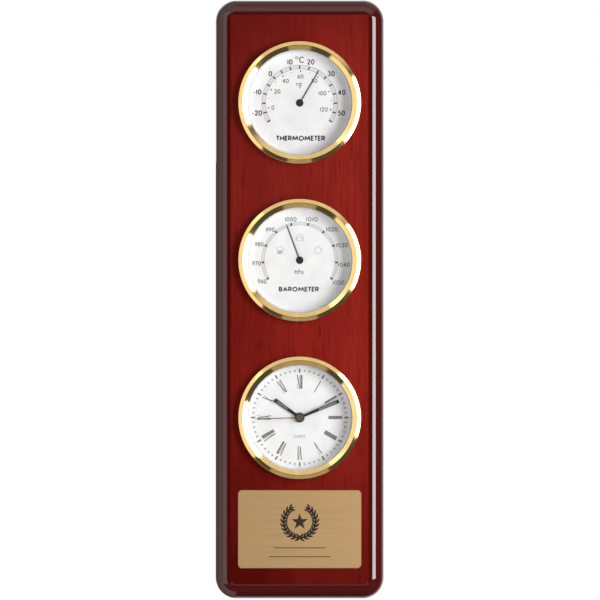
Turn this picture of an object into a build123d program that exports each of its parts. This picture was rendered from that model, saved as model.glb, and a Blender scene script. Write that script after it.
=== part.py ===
from build123d import *
import os
from math import atan2, cos, degrees, radians, sin

# Wall weather station: a lacquered rosewood board with three brass-rimmed inserts, a bimetal
# thermometer, an aneroid barometer and a quartz clock, above a blank engraving plate.
# The origin is the hanging point on the back of the board, +Z is up and the dials face -Y.
# Lengths are millimetres and angles are degrees.

# Fits shared by all the pieces
FIT_GAP = 0.05
PRESS_GAP = 0.02
CUT_OVERRUN = 1.0

# Board
BOARD_WIDTH = 101.6
BOARD_HEIGHT = 362.0
BOARD_THICKNESS = 19.0
BOARD_CORNER_RADIUS = 12.7
BOARD_EDGE_ROUND = 9.0
BOARD_BACK_BREAK = 1.0
HANG_POINT_DROP = 11.0
FIRST_INSERT_DROP = 62.3

# How the height that the inserts and the plate leave free is shared out below the first insert
INSERT_GAP_SHARE = 0.312
BOTTOM_MARGIN_SHARE = 0.276

# Engraving plate
ENGRAVING_WIDTH = 74.4
ENGRAVING_HEIGHT = 47.2
ENGRAVING_THICKNESS = 0.8
ENGRAVING_CORNER = 2.5
ENGRAVING_BEVEL = 0.25

# Keyhole hanger let into the back of the board, and its two countersunk wood screws
HANGER_WIDTH = 40.0
HANGER_HEIGHT = 18.0
HANGER_THICKNESS = 1.2
HANGER_CORNER = 3.0
KEYHOLE_ENTRY_RADIUS = 4.3
KEYHOLE_SLOT_RADIUS = 2.2
KEYHOLE_TRAVEL = 6.5
HEAD_POCKET_MARGIN = 0.7
HEAD_POCKET_DEPTH = 7.0
HANGER_SCREW_SPACING = 30.0
HANGER_SCREW_RADIUS = 1.4
HANGER_SCREW_HEAD_RADIUS = 2.5
HANGER_SCREW_LENGTH = 10.0
SCREW_CROSS_LENGTH = 3.2
SCREW_CROSS_WIDTH = 0.8
SCREW_CROSS_DEPTH = 0.9
COUNTERSINK_ANGLE = 90.0

# Front rim of each insert: brass bezel, glass, white dial ring and the case's flange
BEZEL_RADIUS = 37.0
BEZEL_WIDTH = 5.2
BEZEL_BORE_COVER = 2.8
BEZEL_RISE = 5.15
BEZEL_WALL = 4.2
BEZEL_SHOULDER_ROUND = 0.3
BEZEL_CREST_INSET = 2.4
BEZEL_CREST_ROUND = 0.3
BEZEL_LIP = 1.0
FLANGE_OVERHANG = 1.2
FLANGE_THICKNESS = 0.7
RING_FLANGE = 0.5
RING_WALL = 0.5
RING_DRAFT = 0.4
LENS_THICKNESS = 1.6
LENS_BREAK = 0.3

# Case of each insert: a stepped cup with three screw bosses, held in its bore by a lipped gasket
CASE_WALL = 1.2
CASE_LOWER_WALL = 1.5
CASE_DEPTH = 15.2
CASE_BACK_ROUND = 0.8
FLOOR_THICKNESS = 1.4
SEAT_WIDTH = 3.2
GASKET_THICKNESS = 1.1
GASKET_BAND = 0.55
GASKET_LIPS = 3
GASKET_END_GAP = 0.3
BOSS_COUNT = 3
BOSS_START = 30.0
BOSS_RADIUS = 2.2
BOSS_INSET = 4.6

# Dials
DIAL_DEPTH = 4.6
DIAL_THICKNESS = 0.4
DIAL_HOLE_RADIUS = 1.4
CLOCK_DIAL_HOLE_RADIUS = 2.2

# Movement plate of each insert, seated on the bosses with three countersunk screws
DIAL_BACK_GAP = 0.6
MOVEMENT_PLATE_THICKNESS = 1.0
MOVEMENT_PLATE_EDGE_GAP = 0.8
MOVEMENT_SCREW_RADIUS = 0.8
MOVEMENT_SCREW_HEAD_RADIUS = 1.6
MOVEMENT_SCREW_LENGTH = 5.0

# Needles of the thermometer and the barometer
NEEDLE_LIFT = 0.9
NEEDLE_THICKNESS = 0.4
NEEDLE_ROOT_WIDTH = 0.6
NEEDLE_TIP_WIDTH = 0.5
NEEDLE_LENGTH = 22.6
NEEDLE_HUB_RADIUS = 2.3
NEEDLE_HUB_LIFT = 0.3
NEEDLE_HUB_HEIGHT = 1.7
NEEDLE_HUB_ROUND = 0.6
THERMOMETER_READING_ANGLE = 30.5
BAROMETER_READING_ANGLE = -20.4

# Thermometer: a bimetal spiral that turns a staff in a brass bush
STAFF_RADIUS = 0.6
STAFF_FLOOR_GAP = 1.2
COLLET_RADIUS = 1.3
BUSH_RADIUS = 1.6
BUSH_FRONT_REST = 0.2
BUSH_COIL_GAP = 0.9
BIMETAL_START_RADIUS = 1.7
BIMETAL_PITCH = 1.5
BIMETAL_TURNS = 5
BIMETAL_THICKNESS = 0.5
BIMETAL_HEIGHT = 2.8
BIMETAL_FLOOR_GAP = 1.5
COIL_POST_RADIUS = 0.8
THERMOMETER_VENT_COUNT = 8
THERMOMETER_VENT_INSET = 11.6
THERMOMETER_VENT_LENGTH = 9.0
THERMOMETER_VENT_RADIUS = 1.2

# Barometer: an aneroid capsule, a rocking shaft, a toothed sector and a pinion with a hairspring
BASE_PLATE_BOSS_GAP = 0.3
CAPSULE_RADIUS = 11.5
CAPSULE_STUD_RADIUS = 1.5
CAPSULE_RIPPLES = 4
ROCKER_SHAFT_RADIUS = 0.6
ROCKER_SHAFT_HALF_LENGTH = 14.5
ROCKER_OFFSET = 4.0
ROCKER_ARM_WIDTH = 1.8
ROCKER_ARM_END = 0.8
ROCKER_FINGER_WIDTH = 1.0
ROCKER_FINGER_GAP = 0.3
EAR_THICKNESS = 0.9
EAR_WIDTH = 3.0
EAR_MARGIN = 0.4
SECTOR_TEETH = 80
SECTOR_FIRST_TOOTH = -5
SECTOR_TOOTH_COUNT = 9
BAROMETER_PINION_TEETH = 10
BAROMETER_MODULE = 0.25
SECTOR_PIVOT_DROP = 4.3
SECTOR_HUB_RADIUS = 1.3
SECTOR_STUD_RADIUS = 0.6
SECTOR_TAIL = 1.9
SECTOR_TAIL_WIDTH = 0.7
SECTOR_RIM = 1.6
ARBOR_RADIUS = 0.6
HAIRSPRING_START_RADIUS = 0.9
HAIRSPRING_PITCH = 0.7
HAIRSPRING_TURNS = 4
HAIRSPRING_THICKNESS = 0.15
HAIRSPRING_POST_RADIUS = 0.4
BRIDGE_HALF_WIDTH = 2.6
BRIDGE_PILLAR_RADIUS = 1.2
BRIDGE_PILLAR_OFFSET = 7.0
ADJUSTER_HEAD_RADIUS = 2.4
ADJUSTER_HEAD_HEIGHT = 1.0
ADJUSTER_SHANK_RADIUS = 1.2
ADJUSTER_SLOT_WIDTH = 0.6
ADJUSTER_SLOT_DEPTH = 0.5
ADJUSTER_TIP_GAP = 0.05
BAROMETER_VENT_COUNT = 6
BAROMETER_VENT_INSET = 13.6
BAROMETER_VENT_RADIUS = 1.6

# Depths along the barometer's axis as shares of the space behind its movement plate
SECTOR_GAP_SHARE = 0.07
SECTOR_SHARE = 0.083
PINION_OVERHANG_SHARE = 0.014
HAIRSPRING_GAP_SHARE = 0.042
HAIRSPRING_SHARE = 0.042
BRIDGE_GAP_SHARE = 0.021
BRIDGE_SHARE = 0.083
BASE_PLATE_SHARE = 0.11
CAPSULE_SEAT_SHARE = 0.014
CAPSULE_SHARE = 0.222
CAPSULE_RIPPLE_SHARE = 0.042
CAPSULE_STUD_SHARE = 0.07
ROCKER_GAP_SHARE = 0.035
ROCKER_ARM_SHARE = 0.07

# Clock hands, and the time that they show in degrees clockwise from twelve
HAND_THICKNESS = 0.4
HAND_DIAL_GAP = 0.7
HAND_GAP = 0.6
HAND_PIPE_STAND = 0.2
HOUR_HAND_LENGTH = 18.6
HOUR_HAND_HUB_RADIUS = 3.0
HOUR_HAND_ROOT_WIDTH = 1.5
HOUR_HAND_END_WIDTH = 2.3
MINUTE_HAND_LENGTH = 25.9
MINUTE_HAND_HUB_RADIUS = 2.6
MINUTE_HAND_ROOT_WIDTH = 1.4
MINUTE_HAND_END_WIDTH = 2.2
HAND_POINT = 0.5
SECOND_HAND_LENGTH = 25.5
SECOND_HAND_WIDTH = 0.5
SECOND_CAP_RADIUS = 2.2
SECOND_CAP_HEIGHT = 1.0
SECOND_CAP_ROUND = 0.35
HOUR_ANGLE = 305.6
MINUTE_ANGLE = 67.2
SECOND_ANGLE = 268.2

# Clock wheels: six layers of thin wheels between the movement plate and the back plate
BACK_PLATE_THICKNESS = 1.0
HOUR_LAYER, MINUTE_LAYER, CENTRE_LAYER, THIRD_LAYER, SECOND_LAYER, STEP_LAYER = range(1, 7)
GOING_MODULE = 0.2
MOTION_MODULE = 0.3
CANNON_TEETH = 12
MINUTE_WHEEL_TEETH = 36
MINUTE_PINION_TEETH = 10
HOUR_WHEEL_TEETH = 40
SECOND_PINION_TEETH = 8
THIRD_WHEEL_TEETH = 60
THIRD_PINION_TEETH = 8
CENTRE_WHEEL_TEETH = 64
SECOND_WHEEL_TEETH = 48
STEP_PINION_TEETH = 8
STEP_WHEEL_TEETH = 40
ROTOR_PINION_TEETH = 8
MINUTE_AXIS_ANGLE = -60.0
THIRD_AXIS_ANGLE = 150.0
STEP_AXIS_ANGLE = 60.0
SECOND_ARBOR_RADIUS = 0.5
CANNON_PIPE_RADIUS = 1.2
HOUR_PIPE_RADIUS = 1.8
MINUTE_ARBOR_RADIUS = 0.6
THIRD_ARBOR_RADIUS = 0.45
WHEEL_POST_RADIUS = 0.3

# Depths along the clock's axis as shares of the pitch from one layer to the next
LAYER_SPARE_SHARE = 0.2
LAYER_FIRST_SHARE = 0.55
WHEEL_SHARE = 0.5
WHEEL_OVERHANG_SHARE = 0.1
CANNON_TAIL_SHARE = 0.15
MAGNET_SHARE = 1.4
STATOR_LAYER_SHARE = 0.3
STATOR_SHARE = 0.6
CIRCUIT_POST_SHARE = 0.95

# Tooth form as shares of the module and of the pitch angle, thin enough to run with backlash
ADDENDUM_SHARE = 0.8
DEDENDUM_SHARE = 1.1
TOOTH_TIP_SHARE = 0.10
TOOTH_ROOT_SHARE = 0.27

# Clock stepping motor, circuit and battery
MAGNET_RADIUS = 1.7
STATOR_GAP = 0.3
STATOR_WEB = 0.4
STATOR_LEG_WIDTH = 3.0
STATOR_LEFT = -6.5
STATOR_RIGHT = 15.5
COIL_DISTANCE = 8.5
COIL_CORE_WIDTH = 2.4
COIL_CORE_THICKNESS = 0.8
COIL_FLANGE_THICKNESS = 0.5
COIL_FLANGE_HALF_WIDTH = 2.0
COIL_FLANGE_HALF_HEIGHT = 1.5
COIL_WINDING_WALL = 0.9
STATOR_POST_RADIUS = 1.2
CIRCUIT_X = 16.5
CIRCUIT_Y = -7.5
CIRCUIT_WIDTH = 12.0
CIRCUIT_HEIGHT = 12.0
CIRCUIT_THICKNESS = 0.8
CIRCUIT_CORNER = 0.6
CIRCUIT_POST_RADIUS = 1.2
CRYSTAL_RADIUS = 1.0
CRYSTAL_LENGTH = 6.0
CHIP_SIZE = 3.2
CHIP_THICKNESS = 0.9
BATTERY_X = -16.0
BATTERY_Y = -8.0
BATTERY_RADIUS = 5.8
BATTERY_THICKNESS = 5.4
BATTERY_STEP = 0.6
BATTERY_WELL_GAP = 0.3
BATTERY_WELL_WALL = 0.9
BATTERY_DOOR_GAP = 0.15
CONTACT_THICKNESS = 0.3
CONTACT_WIDTH = 4.0
CONTACT_TAIL = 3.0
DOOR_OVERHANG = 1.4
DOOR_GAP = 0.15
DOOR_EDGE_BREAK = 0.3
DOOR_GRIP_LENGTH = 5.0
DOOR_GRIP_RADIUS = 0.5
DOOR_GRIP_DEPTH = 0.4
KNOB_RADIUS = 5.5
KNOB_HEIGHT = 2.6
KNOB_FLOOR_GAP = 0.3
KNOB_FLUTES = 18
KNOB_FLUTE_RADIUS = 0.5
KNOB_ROUND = 0.4

# Places worked out from the sizes above
BOARD_TOP = HANG_POINT_DROP
BOARD_MIDDLE = BOARD_TOP - BOARD_HEIGHT / 2
COLUMN_HEIGHT = BOARD_HEIGHT - FIRST_INSERT_DROP + BEZEL_RADIUS
FREE_HEIGHT = COLUMN_HEIGHT - 6 * BEZEL_RADIUS - ENGRAVING_HEIGHT
INSERT_PITCH = 2 * BEZEL_RADIUS + INSERT_GAP_SHARE * FREE_HEIGHT
ENGRAVING_DROP = BOARD_HEIGHT - BOTTOM_MARGIN_SHARE * FREE_HEIGHT - ENGRAVING_HEIGHT / 2
INSERT_HEIGHTS = {
    name: BOARD_TOP - FIRST_INSERT_DROP - step * INSERT_PITCH
    for step, name in enumerate(("thermometer", "barometer", "clock"))
}
BEZEL_OPENING_RADIUS = BEZEL_RADIUS - BEZEL_WIDTH
BEZEL_CREST_RADIUS = BEZEL_RADIUS - BEZEL_CREST_INSET
BORE_RADIUS = BEZEL_RADIUS - BEZEL_BORE_COVER
FLANGE_RADIUS = BORE_RADIUS + FLANGE_OVERHANG
CASE_RADIUS = BORE_RADIUS - GASKET_THICKNESS - 2 * FIT_GAP
CASE_INNER_RADIUS = CASE_RADIUS - CASE_WALL
LOWER_INNER_RADIUS = CASE_INNER_RADIUS - SEAT_WIDTH
LOWER_RADIUS = LOWER_INNER_RADIUS + CASE_LOWER_WALL
LENS_BACK = FLANGE_THICKNESS + RING_FLANGE
LENS_FRONT = LENS_BACK + LENS_THICKNESS
SEAT_DEPTH = DIAL_DEPTH + DIAL_THICKNESS
STEP_DEPTH = SEAT_DEPTH + CASE_LOWER_WALL
FLOOR_DEPTH = CASE_DEPTH - FLOOR_THICKNESS
DIAL_RADIUS = CASE_INNER_RADIUS - 3 * FIT_GAP
PLATE_FRONT_DEPTH = SEAT_DEPTH + DIAL_BACK_GAP
PLATE_BACK_DEPTH = PLATE_FRONT_DEPTH + MOVEMENT_PLATE_THICKNESS
MOVEMENT_PLATE_RADIUS = LOWER_INNER_RADIUS - MOVEMENT_PLATE_EDGE_GAP
MOVEMENT_SPACE = FLOOR_DEPTH - PLATE_BACK_DEPTH
BOSS_CIRCLE_RADIUS = LOWER_INNER_RADIUS - BOSS_INSET
THERMOMETER_VENT_CIRCLE_RADIUS = LOWER_INNER_RADIUS - THERMOMETER_VENT_INSET
BAROMETER_VENT_CIRCLE_RADIUS = LOWER_INNER_RADIUS - BAROMETER_VENT_INSET
BOSS_ANGLES = [BOSS_START + step * 360 / BOSS_COUNT for step in range(BOSS_COUNT)]
MOTION_DISTANCE = MOTION_MODULE * (CANNON_TEETH + MINUTE_WHEEL_TEETH) / 2
MINUTE_AXIS = (
    MOTION_DISTANCE * cos(radians(MINUTE_AXIS_ANGLE)),
    MOTION_DISTANCE * sin(radians(MINUTE_AXIS_ANGLE)),
)


def face_plane(height, depth=0.0, turn=0.0):
    """Plane parallel to the dials, depth behind the board's face, with X right and Y up.

    A positive turn is clockwise, as the hands of a clock go.
    """
    right = (cos(radians(turn)), 0, -sin(radians(turn)))
    return Plane(origin=(0, depth - BOARD_THICKNESS, height), x_dir=right, z_dir=(0, -1, 0))


def profile_plane(height):
    """Plane through an insert's axis: X is the radius and Y the rise in front of the board's face."""
    return Plane(origin=(0, -BOARD_THICKNESS, height), x_dir=(1, 0, 0), z_dir=(0, 0, -1))


def dial_axis(height):
    """Axis of an insert, towards the viewer."""
    return Axis((0, 0, height), (0, -1, 0))


def polar(radius, angle):
    """Point at a radius and an angle in degrees."""
    return (radius * cos(radians(angle)), radius * sin(radians(angle)))


def keep(piece, name):
    """Labels a finished piece and writes its file."""
    piece.part.label = name
    export_step(piece.part, f"parts/{name}.step")


def tooth_points(teeth, module, first, count, phase):
    """Outline of count teeth from number first, with tooth 0 centred on the phase angle."""
    pitch_angle = 360 / teeth
    tip = module * (teeth / 2 + ADDENDUM_SHARE)
    root = module * (teeth / 2 - DEDENDUM_SHARE)
    points = []
    for tooth in range(first, first + count):
        middle = phase + tooth * pitch_angle
        points.append(polar(root, middle - TOOTH_ROOT_SHARE * pitch_angle))
        points.append(polar(tip, middle - TOOTH_TIP_SHARE * pitch_angle))
        points.append(polar(tip, middle + TOOTH_TIP_SHARE * pitch_angle))
        points.append(polar(root, middle + TOOTH_ROOT_SHARE * pitch_angle))
    return points


def gear_face(plane, teeth, module, phase, centre=(0, 0)):
    """Face of a whole wheel or pinion on its plane."""
    moved = [(x + centre[0], y + centre[1]) for x, y in tooth_points(teeth, module, 0, teeth, phase)]
    with BuildSketch(plane) as face:
        with BuildLine():
            Polyline(*moved, close=True)
        make_face()
    return face.sketch


def spiral_face(plane, start_radius, pitch, turns, thickness):
    """Face of a flat spiral strip, each turn two half circles about centres half a pitch apart."""
    shift = pitch / 2
    with BuildSketch(plane) as face:
        with BuildLine():
            for side in (-thickness / 2, thickness / 2):
                for turn in range(turns):
                    radius = start_radius + turn * pitch + side
                    CenterArc((0, 0), radius, 0, 180)
                    CenterArc((shift, 0), radius + shift, 180, 180)
            for radius in (start_radius, start_radius + turns * pitch):
                Line((radius - thickness / 2, 0), (radius + thickness / 2, 0))
        make_face()
    return face.sketch


def countersunk_screw(head_radius, radius, length):
    """Countersunk screw whose flat head lies on the current location's plane."""
    head_height = head_radius - radius
    Cone(radius, head_radius, head_height, align=(Align.CENTER, Align.CENTER, Align.MAX))
    Cylinder(radius, length, align=(Align.CENTER, Align.CENTER, Align.MAX))


os.makedirs("parts", exist_ok=True)

# Board: through bores for the inserts, a round front edge and the hanger's pockets in the back
hanger_middle = (KEYHOLE_SLOT_RADIUS - KEYHOLE_TRAVEL - KEYHOLE_ENTRY_RADIUS) / 2
hanger_screw_places = [
    Plane(origin=(side * HANGER_SCREW_SPACING / 2, 0, hanger_middle), x_dir=(1, 0, 0), z_dir=(0, 1, 0))
    for side in (-1, 1)
]
with BuildPart() as board:
    with BuildSketch(Plane.XZ):
        with Locations((0, BOARD_MIDDLE)):
            RectangleRounded(BOARD_WIDTH, BOARD_HEIGHT, BOARD_CORNER_RADIUS)
    extrude(amount=BOARD_THICKNESS)
    fillet(board.faces().sort_by(Axis.Y)[0].edges(), radius=BOARD_EDGE_ROUND)
    fillet(board.faces().sort_by(Axis.Y)[-1].edges(), radius=BOARD_BACK_BREAK)
    with BuildSketch(Plane.XZ):
        with Locations(*[(0, height) for height in INSERT_HEIGHTS.values()]):
            Circle(BORE_RADIUS)
    extrude(amount=BOARD_THICKNESS, mode=Mode.SUBTRACT)
    with BuildSketch(Plane.XZ):
        with Locations((0, hanger_middle)):
            RectangleRounded(
                HANGER_WIDTH + 2 * FIT_GAP, HANGER_HEIGHT + 2 * FIT_GAP, HANGER_CORNER + FIT_GAP
            )
    extrude(amount=HANGER_THICKNESS + FIT_GAP, mode=Mode.SUBTRACT)
    with BuildSketch(Plane.XZ):
        with Locations((0, -KEYHOLE_TRAVEL / 2)):
            SlotCenterToCenter(
                KEYHOLE_TRAVEL, 2 * (KEYHOLE_ENTRY_RADIUS + HEAD_POCKET_MARGIN), rotation=90
            )
    extrude(amount=HEAD_POCKET_DEPTH, mode=Mode.SUBTRACT)
    with Locations(*hanger_screw_places):
        Hole(HANGER_SCREW_RADIUS + PRESS_GAP, depth=HANGER_SCREW_LENGTH + CUT_OVERRUN)
keep(board, "board")

# Keyhole hanger: a steel plate flush with the board's back, its round entry below the slot
with BuildPart() as keyhole_hanger:
    with BuildSketch(Plane.XZ):
        with Locations((0, hanger_middle)):
            RectangleRounded(HANGER_WIDTH, HANGER_HEIGHT, HANGER_CORNER)
        with Locations((0, -KEYHOLE_TRAVEL)):
            Circle(KEYHOLE_ENTRY_RADIUS, mode=Mode.SUBTRACT)
        with Locations((0, -KEYHOLE_TRAVEL / 2)):
            SlotCenterToCenter(KEYHOLE_TRAVEL, 2 * KEYHOLE_SLOT_RADIUS, rotation=90, mode=Mode.SUBTRACT)
    extrude(amount=HANGER_THICKNESS)
    with Locations(*hanger_screw_places):
        CounterSinkHole(
            HANGER_SCREW_RADIUS + FIT_GAP,
            HANGER_SCREW_HEAD_RADIUS + FIT_GAP,
            counter_sink_angle=COUNTERSINK_ANGLE,
        )
keep(keyhole_hanger, "keyhole_hanger")

with BuildPart() as hanger_screws:
    with Locations(*hanger_screw_places):
        countersunk_screw(HANGER_SCREW_HEAD_RADIUS, HANGER_SCREW_RADIUS, HANGER_SCREW_LENGTH)
        for turn in (45, 135):
            Box(
                SCREW_CROSS_LENGTH,
                SCREW_CROSS_WIDTH,
                SCREW_CROSS_DEPTH,
                rotation=(0, 0, turn),
                align=(Align.CENTER, Align.CENTER, Align.MAX),
                mode=Mode.SUBTRACT,
            )
keep(hanger_screws, "hanger_screws")

# Engraving plate: thin brass with round corners and a bevelled front edge
with BuildPart() as engraving_plate:
    with BuildSketch(face_plane(BOARD_TOP - ENGRAVING_DROP)):
        RectangleRounded(ENGRAVING_WIDTH, ENGRAVING_HEIGHT, ENGRAVING_CORNER)
    extrude(amount=ENGRAVING_THICKNESS)
    chamfer(engraving_plate.faces().sort_by(Axis.Y)[0].edges(), length=ENGRAVING_BEVEL)
keep(engraving_plate, "engraving_plate")

# Front rim, dial, case blank and gasket, alike on the three inserts
dial_holes = {
    "thermometer": DIAL_HOLE_RADIUS,
    "barometer": DIAL_HOLE_RADIUS,
    "clock": CLOCK_DIAL_HOLE_RADIUS,
}
rabbet_radius = FLANGE_RADIUS + FIT_GAP
lip_front = LENS_FRONT + BEZEL_LIP
ring_outer = CASE_INNER_RADIUS - FIT_GAP
ring_foot = ring_outer - RING_WALL - RING_DRAFT
gasket_inner = CASE_RADIUS + FIT_GAP
gasket_length = STEP_DEPTH - 2 * GASKET_END_GAP
for name, height in INSERT_HEIGHTS.items():
    axis = dial_axis(height)

    # Bezel: upright wall, rounded shoulder, straight outer slope, round crest and a slope to the glass
    with BuildPart() as bezel:
        with BuildSketch(profile_plane(height)):
            with BuildLine():
                Polyline(
                    (rabbet_radius, 0),
                    (BEZEL_RADIUS, 0),
                    (BEZEL_RADIUS, BEZEL_WALL),
                    (BEZEL_CREST_RADIUS, BEZEL_RISE),
                    (BEZEL_OPENING_RADIUS, lip_front),
                    (BEZEL_OPENING_RADIUS, LENS_FRONT),
                    (rabbet_radius, LENS_FRONT),
                    close=True,
                )
            make_face()
        revolve(axis=axis)
        rings = bezel.edges().filter_by(GeomType.CIRCLE)
        fillet(rings.sort_by(Axis.Y)[1], radius=BEZEL_SHOULDER_ROUND)
        fillet(bezel.edges().sort_by(Axis.Y)[0], radius=BEZEL_CREST_ROUND)
    keep(bezel, f"{name}_bezel")

    with BuildPart() as lens:
        with BuildSketch(face_plane(height, -LENS_BACK)):
            Circle(FLANGE_RADIUS)
        extrude(amount=LENS_THICKNESS)
        chamfer(lens.edges(), length=LENS_BREAK)
    keep(lens, f"{name}_lens")

    # Dial ring: its flange lies under the glass and its tapered wall holds the dial down
    with BuildPart() as dial_ring:
        with BuildSketch(profile_plane(height)):
            with BuildLine():
                Polyline(
                    (ring_outer, FLANGE_THICKNESS),
                    (FLANGE_RADIUS, FLANGE_THICKNESS),
                    (FLANGE_RADIUS, LENS_BACK),
                    (ring_foot + RING_DRAFT, LENS_BACK),
                    (ring_foot, -DIAL_DEPTH),
                    (ring_outer, -DIAL_DEPTH),
                    close=True,
                )
            make_face()
        revolve(axis=axis)
    keep(dial_ring, f"{name}_dial_ring")

    with BuildPart() as dial:
        with BuildSketch(face_plane(height, SEAT_DEPTH)):
            Circle(DIAL_RADIUS)
            Circle(dial_holes[name], mode=Mode.SUBTRACT)
        extrude(amount=DIAL_THICKNESS)
    keep(dial, f"{name}_dial")

    # Gasket: a rubber band with pointed lips that grip the bore
    with BuildPart() as gasket:
        with BuildSketch(profile_plane(height)):
            with BuildLine():
                lip_length = gasket_length / GASKET_LIPS
                outline = [(gasket_inner, -GASKET_END_GAP)]
                for lip in range(GASKET_LIPS):
                    top = -GASKET_END_GAP - lip * lip_length
                    outline.append((gasket_inner + GASKET_BAND, top))
                    outline.append((gasket_inner + GASKET_THICKNESS, top - lip_length / 2))
                outline.append((gasket_inner + GASKET_BAND, -GASKET_END_GAP - gasket_length))
                outline.append((gasket_inner, -GASKET_END_GAP - gasket_length))
                Polyline(*outline, close=True)
            make_face()
        revolve(axis=axis)
    keep(gasket, f"{name}_gasket")

    # Case: the cup, its bosses and the back that each instrument needs
    with BuildPart() as case:
        with BuildSketch(profile_plane(height)):
            with BuildLine():
                Polyline(
                    (0, -CASE_DEPTH),
                    (LOWER_RADIUS, -CASE_DEPTH),
                    (LOWER_RADIUS, -STEP_DEPTH),
                    (CASE_RADIUS, -STEP_DEPTH),
                    (CASE_RADIUS, 0),
                    (FLANGE_RADIUS, 0),
                    (FLANGE_RADIUS, FLANGE_THICKNESS),
                    (CASE_INNER_RADIUS, FLANGE_THICKNESS),
                    (CASE_INNER_RADIUS, -SEAT_DEPTH),
                    (LOWER_INNER_RADIUS, -SEAT_DEPTH),
                    (LOWER_INNER_RADIUS, -FLOOR_DEPTH),
                    (0, -FLOOR_DEPTH),
                    close=True,
                )
            make_face()
        revolve(axis=axis)
        fillet(case.faces().sort_by(Axis.Y)[-1].edges(), radius=CASE_BACK_ROUND)
        with BuildSketch(face_plane(height, FLOOR_DEPTH)):
            with PolarLocations(BOSS_CIRCLE_RADIUS, BOSS_COUNT, start_angle=BOSS_START):
                Circle(BOSS_RADIUS)
        extrude(amount=FLOOR_DEPTH - PLATE_BACK_DEPTH)
        with BuildSketch(face_plane(height, PLATE_BACK_DEPTH)):
            with PolarLocations(BOSS_CIRCLE_RADIUS, BOSS_COUNT, start_angle=BOSS_START):
                Circle(MOVEMENT_SCREW_RADIUS + PRESS_GAP)
        extrude(amount=-MOVEMENT_SCREW_LENGTH, mode=Mode.SUBTRACT)
        if name == "thermometer":
            with BuildSketch(face_plane(height, CASE_DEPTH)):
                with PolarLocations(THERMOMETER_VENT_CIRCLE_RADIUS, THERMOMETER_VENT_COUNT):
                    SlotOverall(THERMOMETER_VENT_LENGTH, 2 * THERMOMETER_VENT_RADIUS)
            extrude(amount=FLOOR_THICKNESS, mode=Mode.SUBTRACT)
        if name == "barometer":
            with BuildSketch(face_plane(height, CASE_DEPTH)):
                Circle(ADJUSTER_HEAD_RADIUS + 2 * FIT_GAP)
                with PolarLocations(BAROMETER_VENT_CIRCLE_RADIUS, BAROMETER_VENT_COUNT):
                    Circle(BAROMETER_VENT_RADIUS)
            extrude(amount=FLOOR_THICKNESS, mode=Mode.SUBTRACT)
        if name == "clock":
            with BuildSketch(face_plane(height, CASE_DEPTH)):
                with Locations(MINUTE_AXIS):
                    Circle(MINUTE_ARBOR_RADIUS + FIT_GAP)
                with Locations((BATTERY_X, BATTERY_Y)):
                    Circle(BATTERY_RADIUS + BATTERY_WELL_GAP)
            extrude(amount=FLOOR_THICKNESS, mode=Mode.SUBTRACT)
            with BuildSketch(face_plane(height, CASE_DEPTH)):
                with Locations((BATTERY_X, BATTERY_Y)):
                    Circle(BATTERY_RADIUS + BATTERY_WELL_GAP + DOOR_OVERHANG)
            extrude(amount=FLOOR_THICKNESS / 2, mode=Mode.SUBTRACT)
    keep(case, f"{name}_case")

# Nine identical screws fix the three movement plates to the bosses
screw_places = [
    face_plane(height, PLATE_FRONT_DEPTH) * Location(polar(BOSS_CIRCLE_RADIUS, angle))
    for height in INSERT_HEIGHTS.values()
    for angle in BOSS_ANGLES
]
with BuildPart() as movement_screws:
    with Locations(*screw_places):
        countersunk_screw(MOVEMENT_SCREW_HEAD_RADIUS, MOVEMENT_SCREW_RADIUS, MOVEMENT_SCREW_LENGTH)
keep(movement_screws, "movement_screws")


def needle(height, reading_angle):
    """Face of a straight tapered needle with a round hub, pointing at its reading."""
    with BuildSketch(face_plane(height, DIAL_DEPTH - NEEDLE_LIFT, reading_angle)) as face:
        with BuildLine():
            Polyline(
                (-NEEDLE_ROOT_WIDTH / 2, 0),
                (-NEEDLE_TIP_WIDTH / 2, NEEDLE_LENGTH - NEEDLE_TIP_WIDTH),
                (0, NEEDLE_LENGTH),
                (NEEDLE_TIP_WIDTH / 2, NEEDLE_LENGTH - NEEDLE_TIP_WIDTH),
                (NEEDLE_ROOT_WIDTH / 2, 0),
                close=True,
            )
        make_face()
    return face.sketch


def needle_with_hub(height, reading_angle, staff_radius):
    """Needle and its domed hub, with a blind hole for the staff."""
    hub_back = DIAL_DEPTH - NEEDLE_HUB_LIFT
    with BuildPart() as piece:
        with BuildSketch(face_plane(height, hub_back)):
            Circle(NEEDLE_HUB_RADIUS)
        extrude(amount=NEEDLE_HUB_HEIGHT)
        fillet(piece.faces().sort_by(Axis.Y)[0].edges(), radius=NEEDLE_HUB_ROUND)
        extrude(needle(height, reading_angle), amount=NEEDLE_THICKNESS)
        with BuildSketch(face_plane(height, hub_back)):
            Circle(staff_radius + PRESS_GAP)
        extrude(amount=NEEDLE_HUB_HEIGHT / 2, mode=Mode.SUBTRACT)
    return piece


# The staff of a needle reaches to just under the end of the hub's hole
staff_head_depth = DIAL_DEPTH - NEEDLE_HUB_LIFT - NEEDLE_HUB_HEIGHT / 2 + PRESS_GAP

# Thermometer movement
thermometer = INSERT_HEIGHTS["thermometer"]
bimetal_back = FLOOR_DEPTH - BIMETAL_FLOOR_GAP
bush_front = PLATE_FRONT_DEPTH - BUSH_FRONT_REST
bush_back = bimetal_back - BIMETAL_HEIGHT - BUSH_COIL_GAP
staff_foot = FLOOR_DEPTH - STAFF_FLOOR_GAP
coil_end_radius = BIMETAL_START_RADIUS + BIMETAL_TURNS * BIMETAL_PITCH
coil_post_place = (coil_end_radius, COIL_POST_RADIUS + FIT_GAP)
keep(needle_with_hub(thermometer, THERMOMETER_READING_ANGLE, STAFF_RADIUS), "thermometer_needle")

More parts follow.
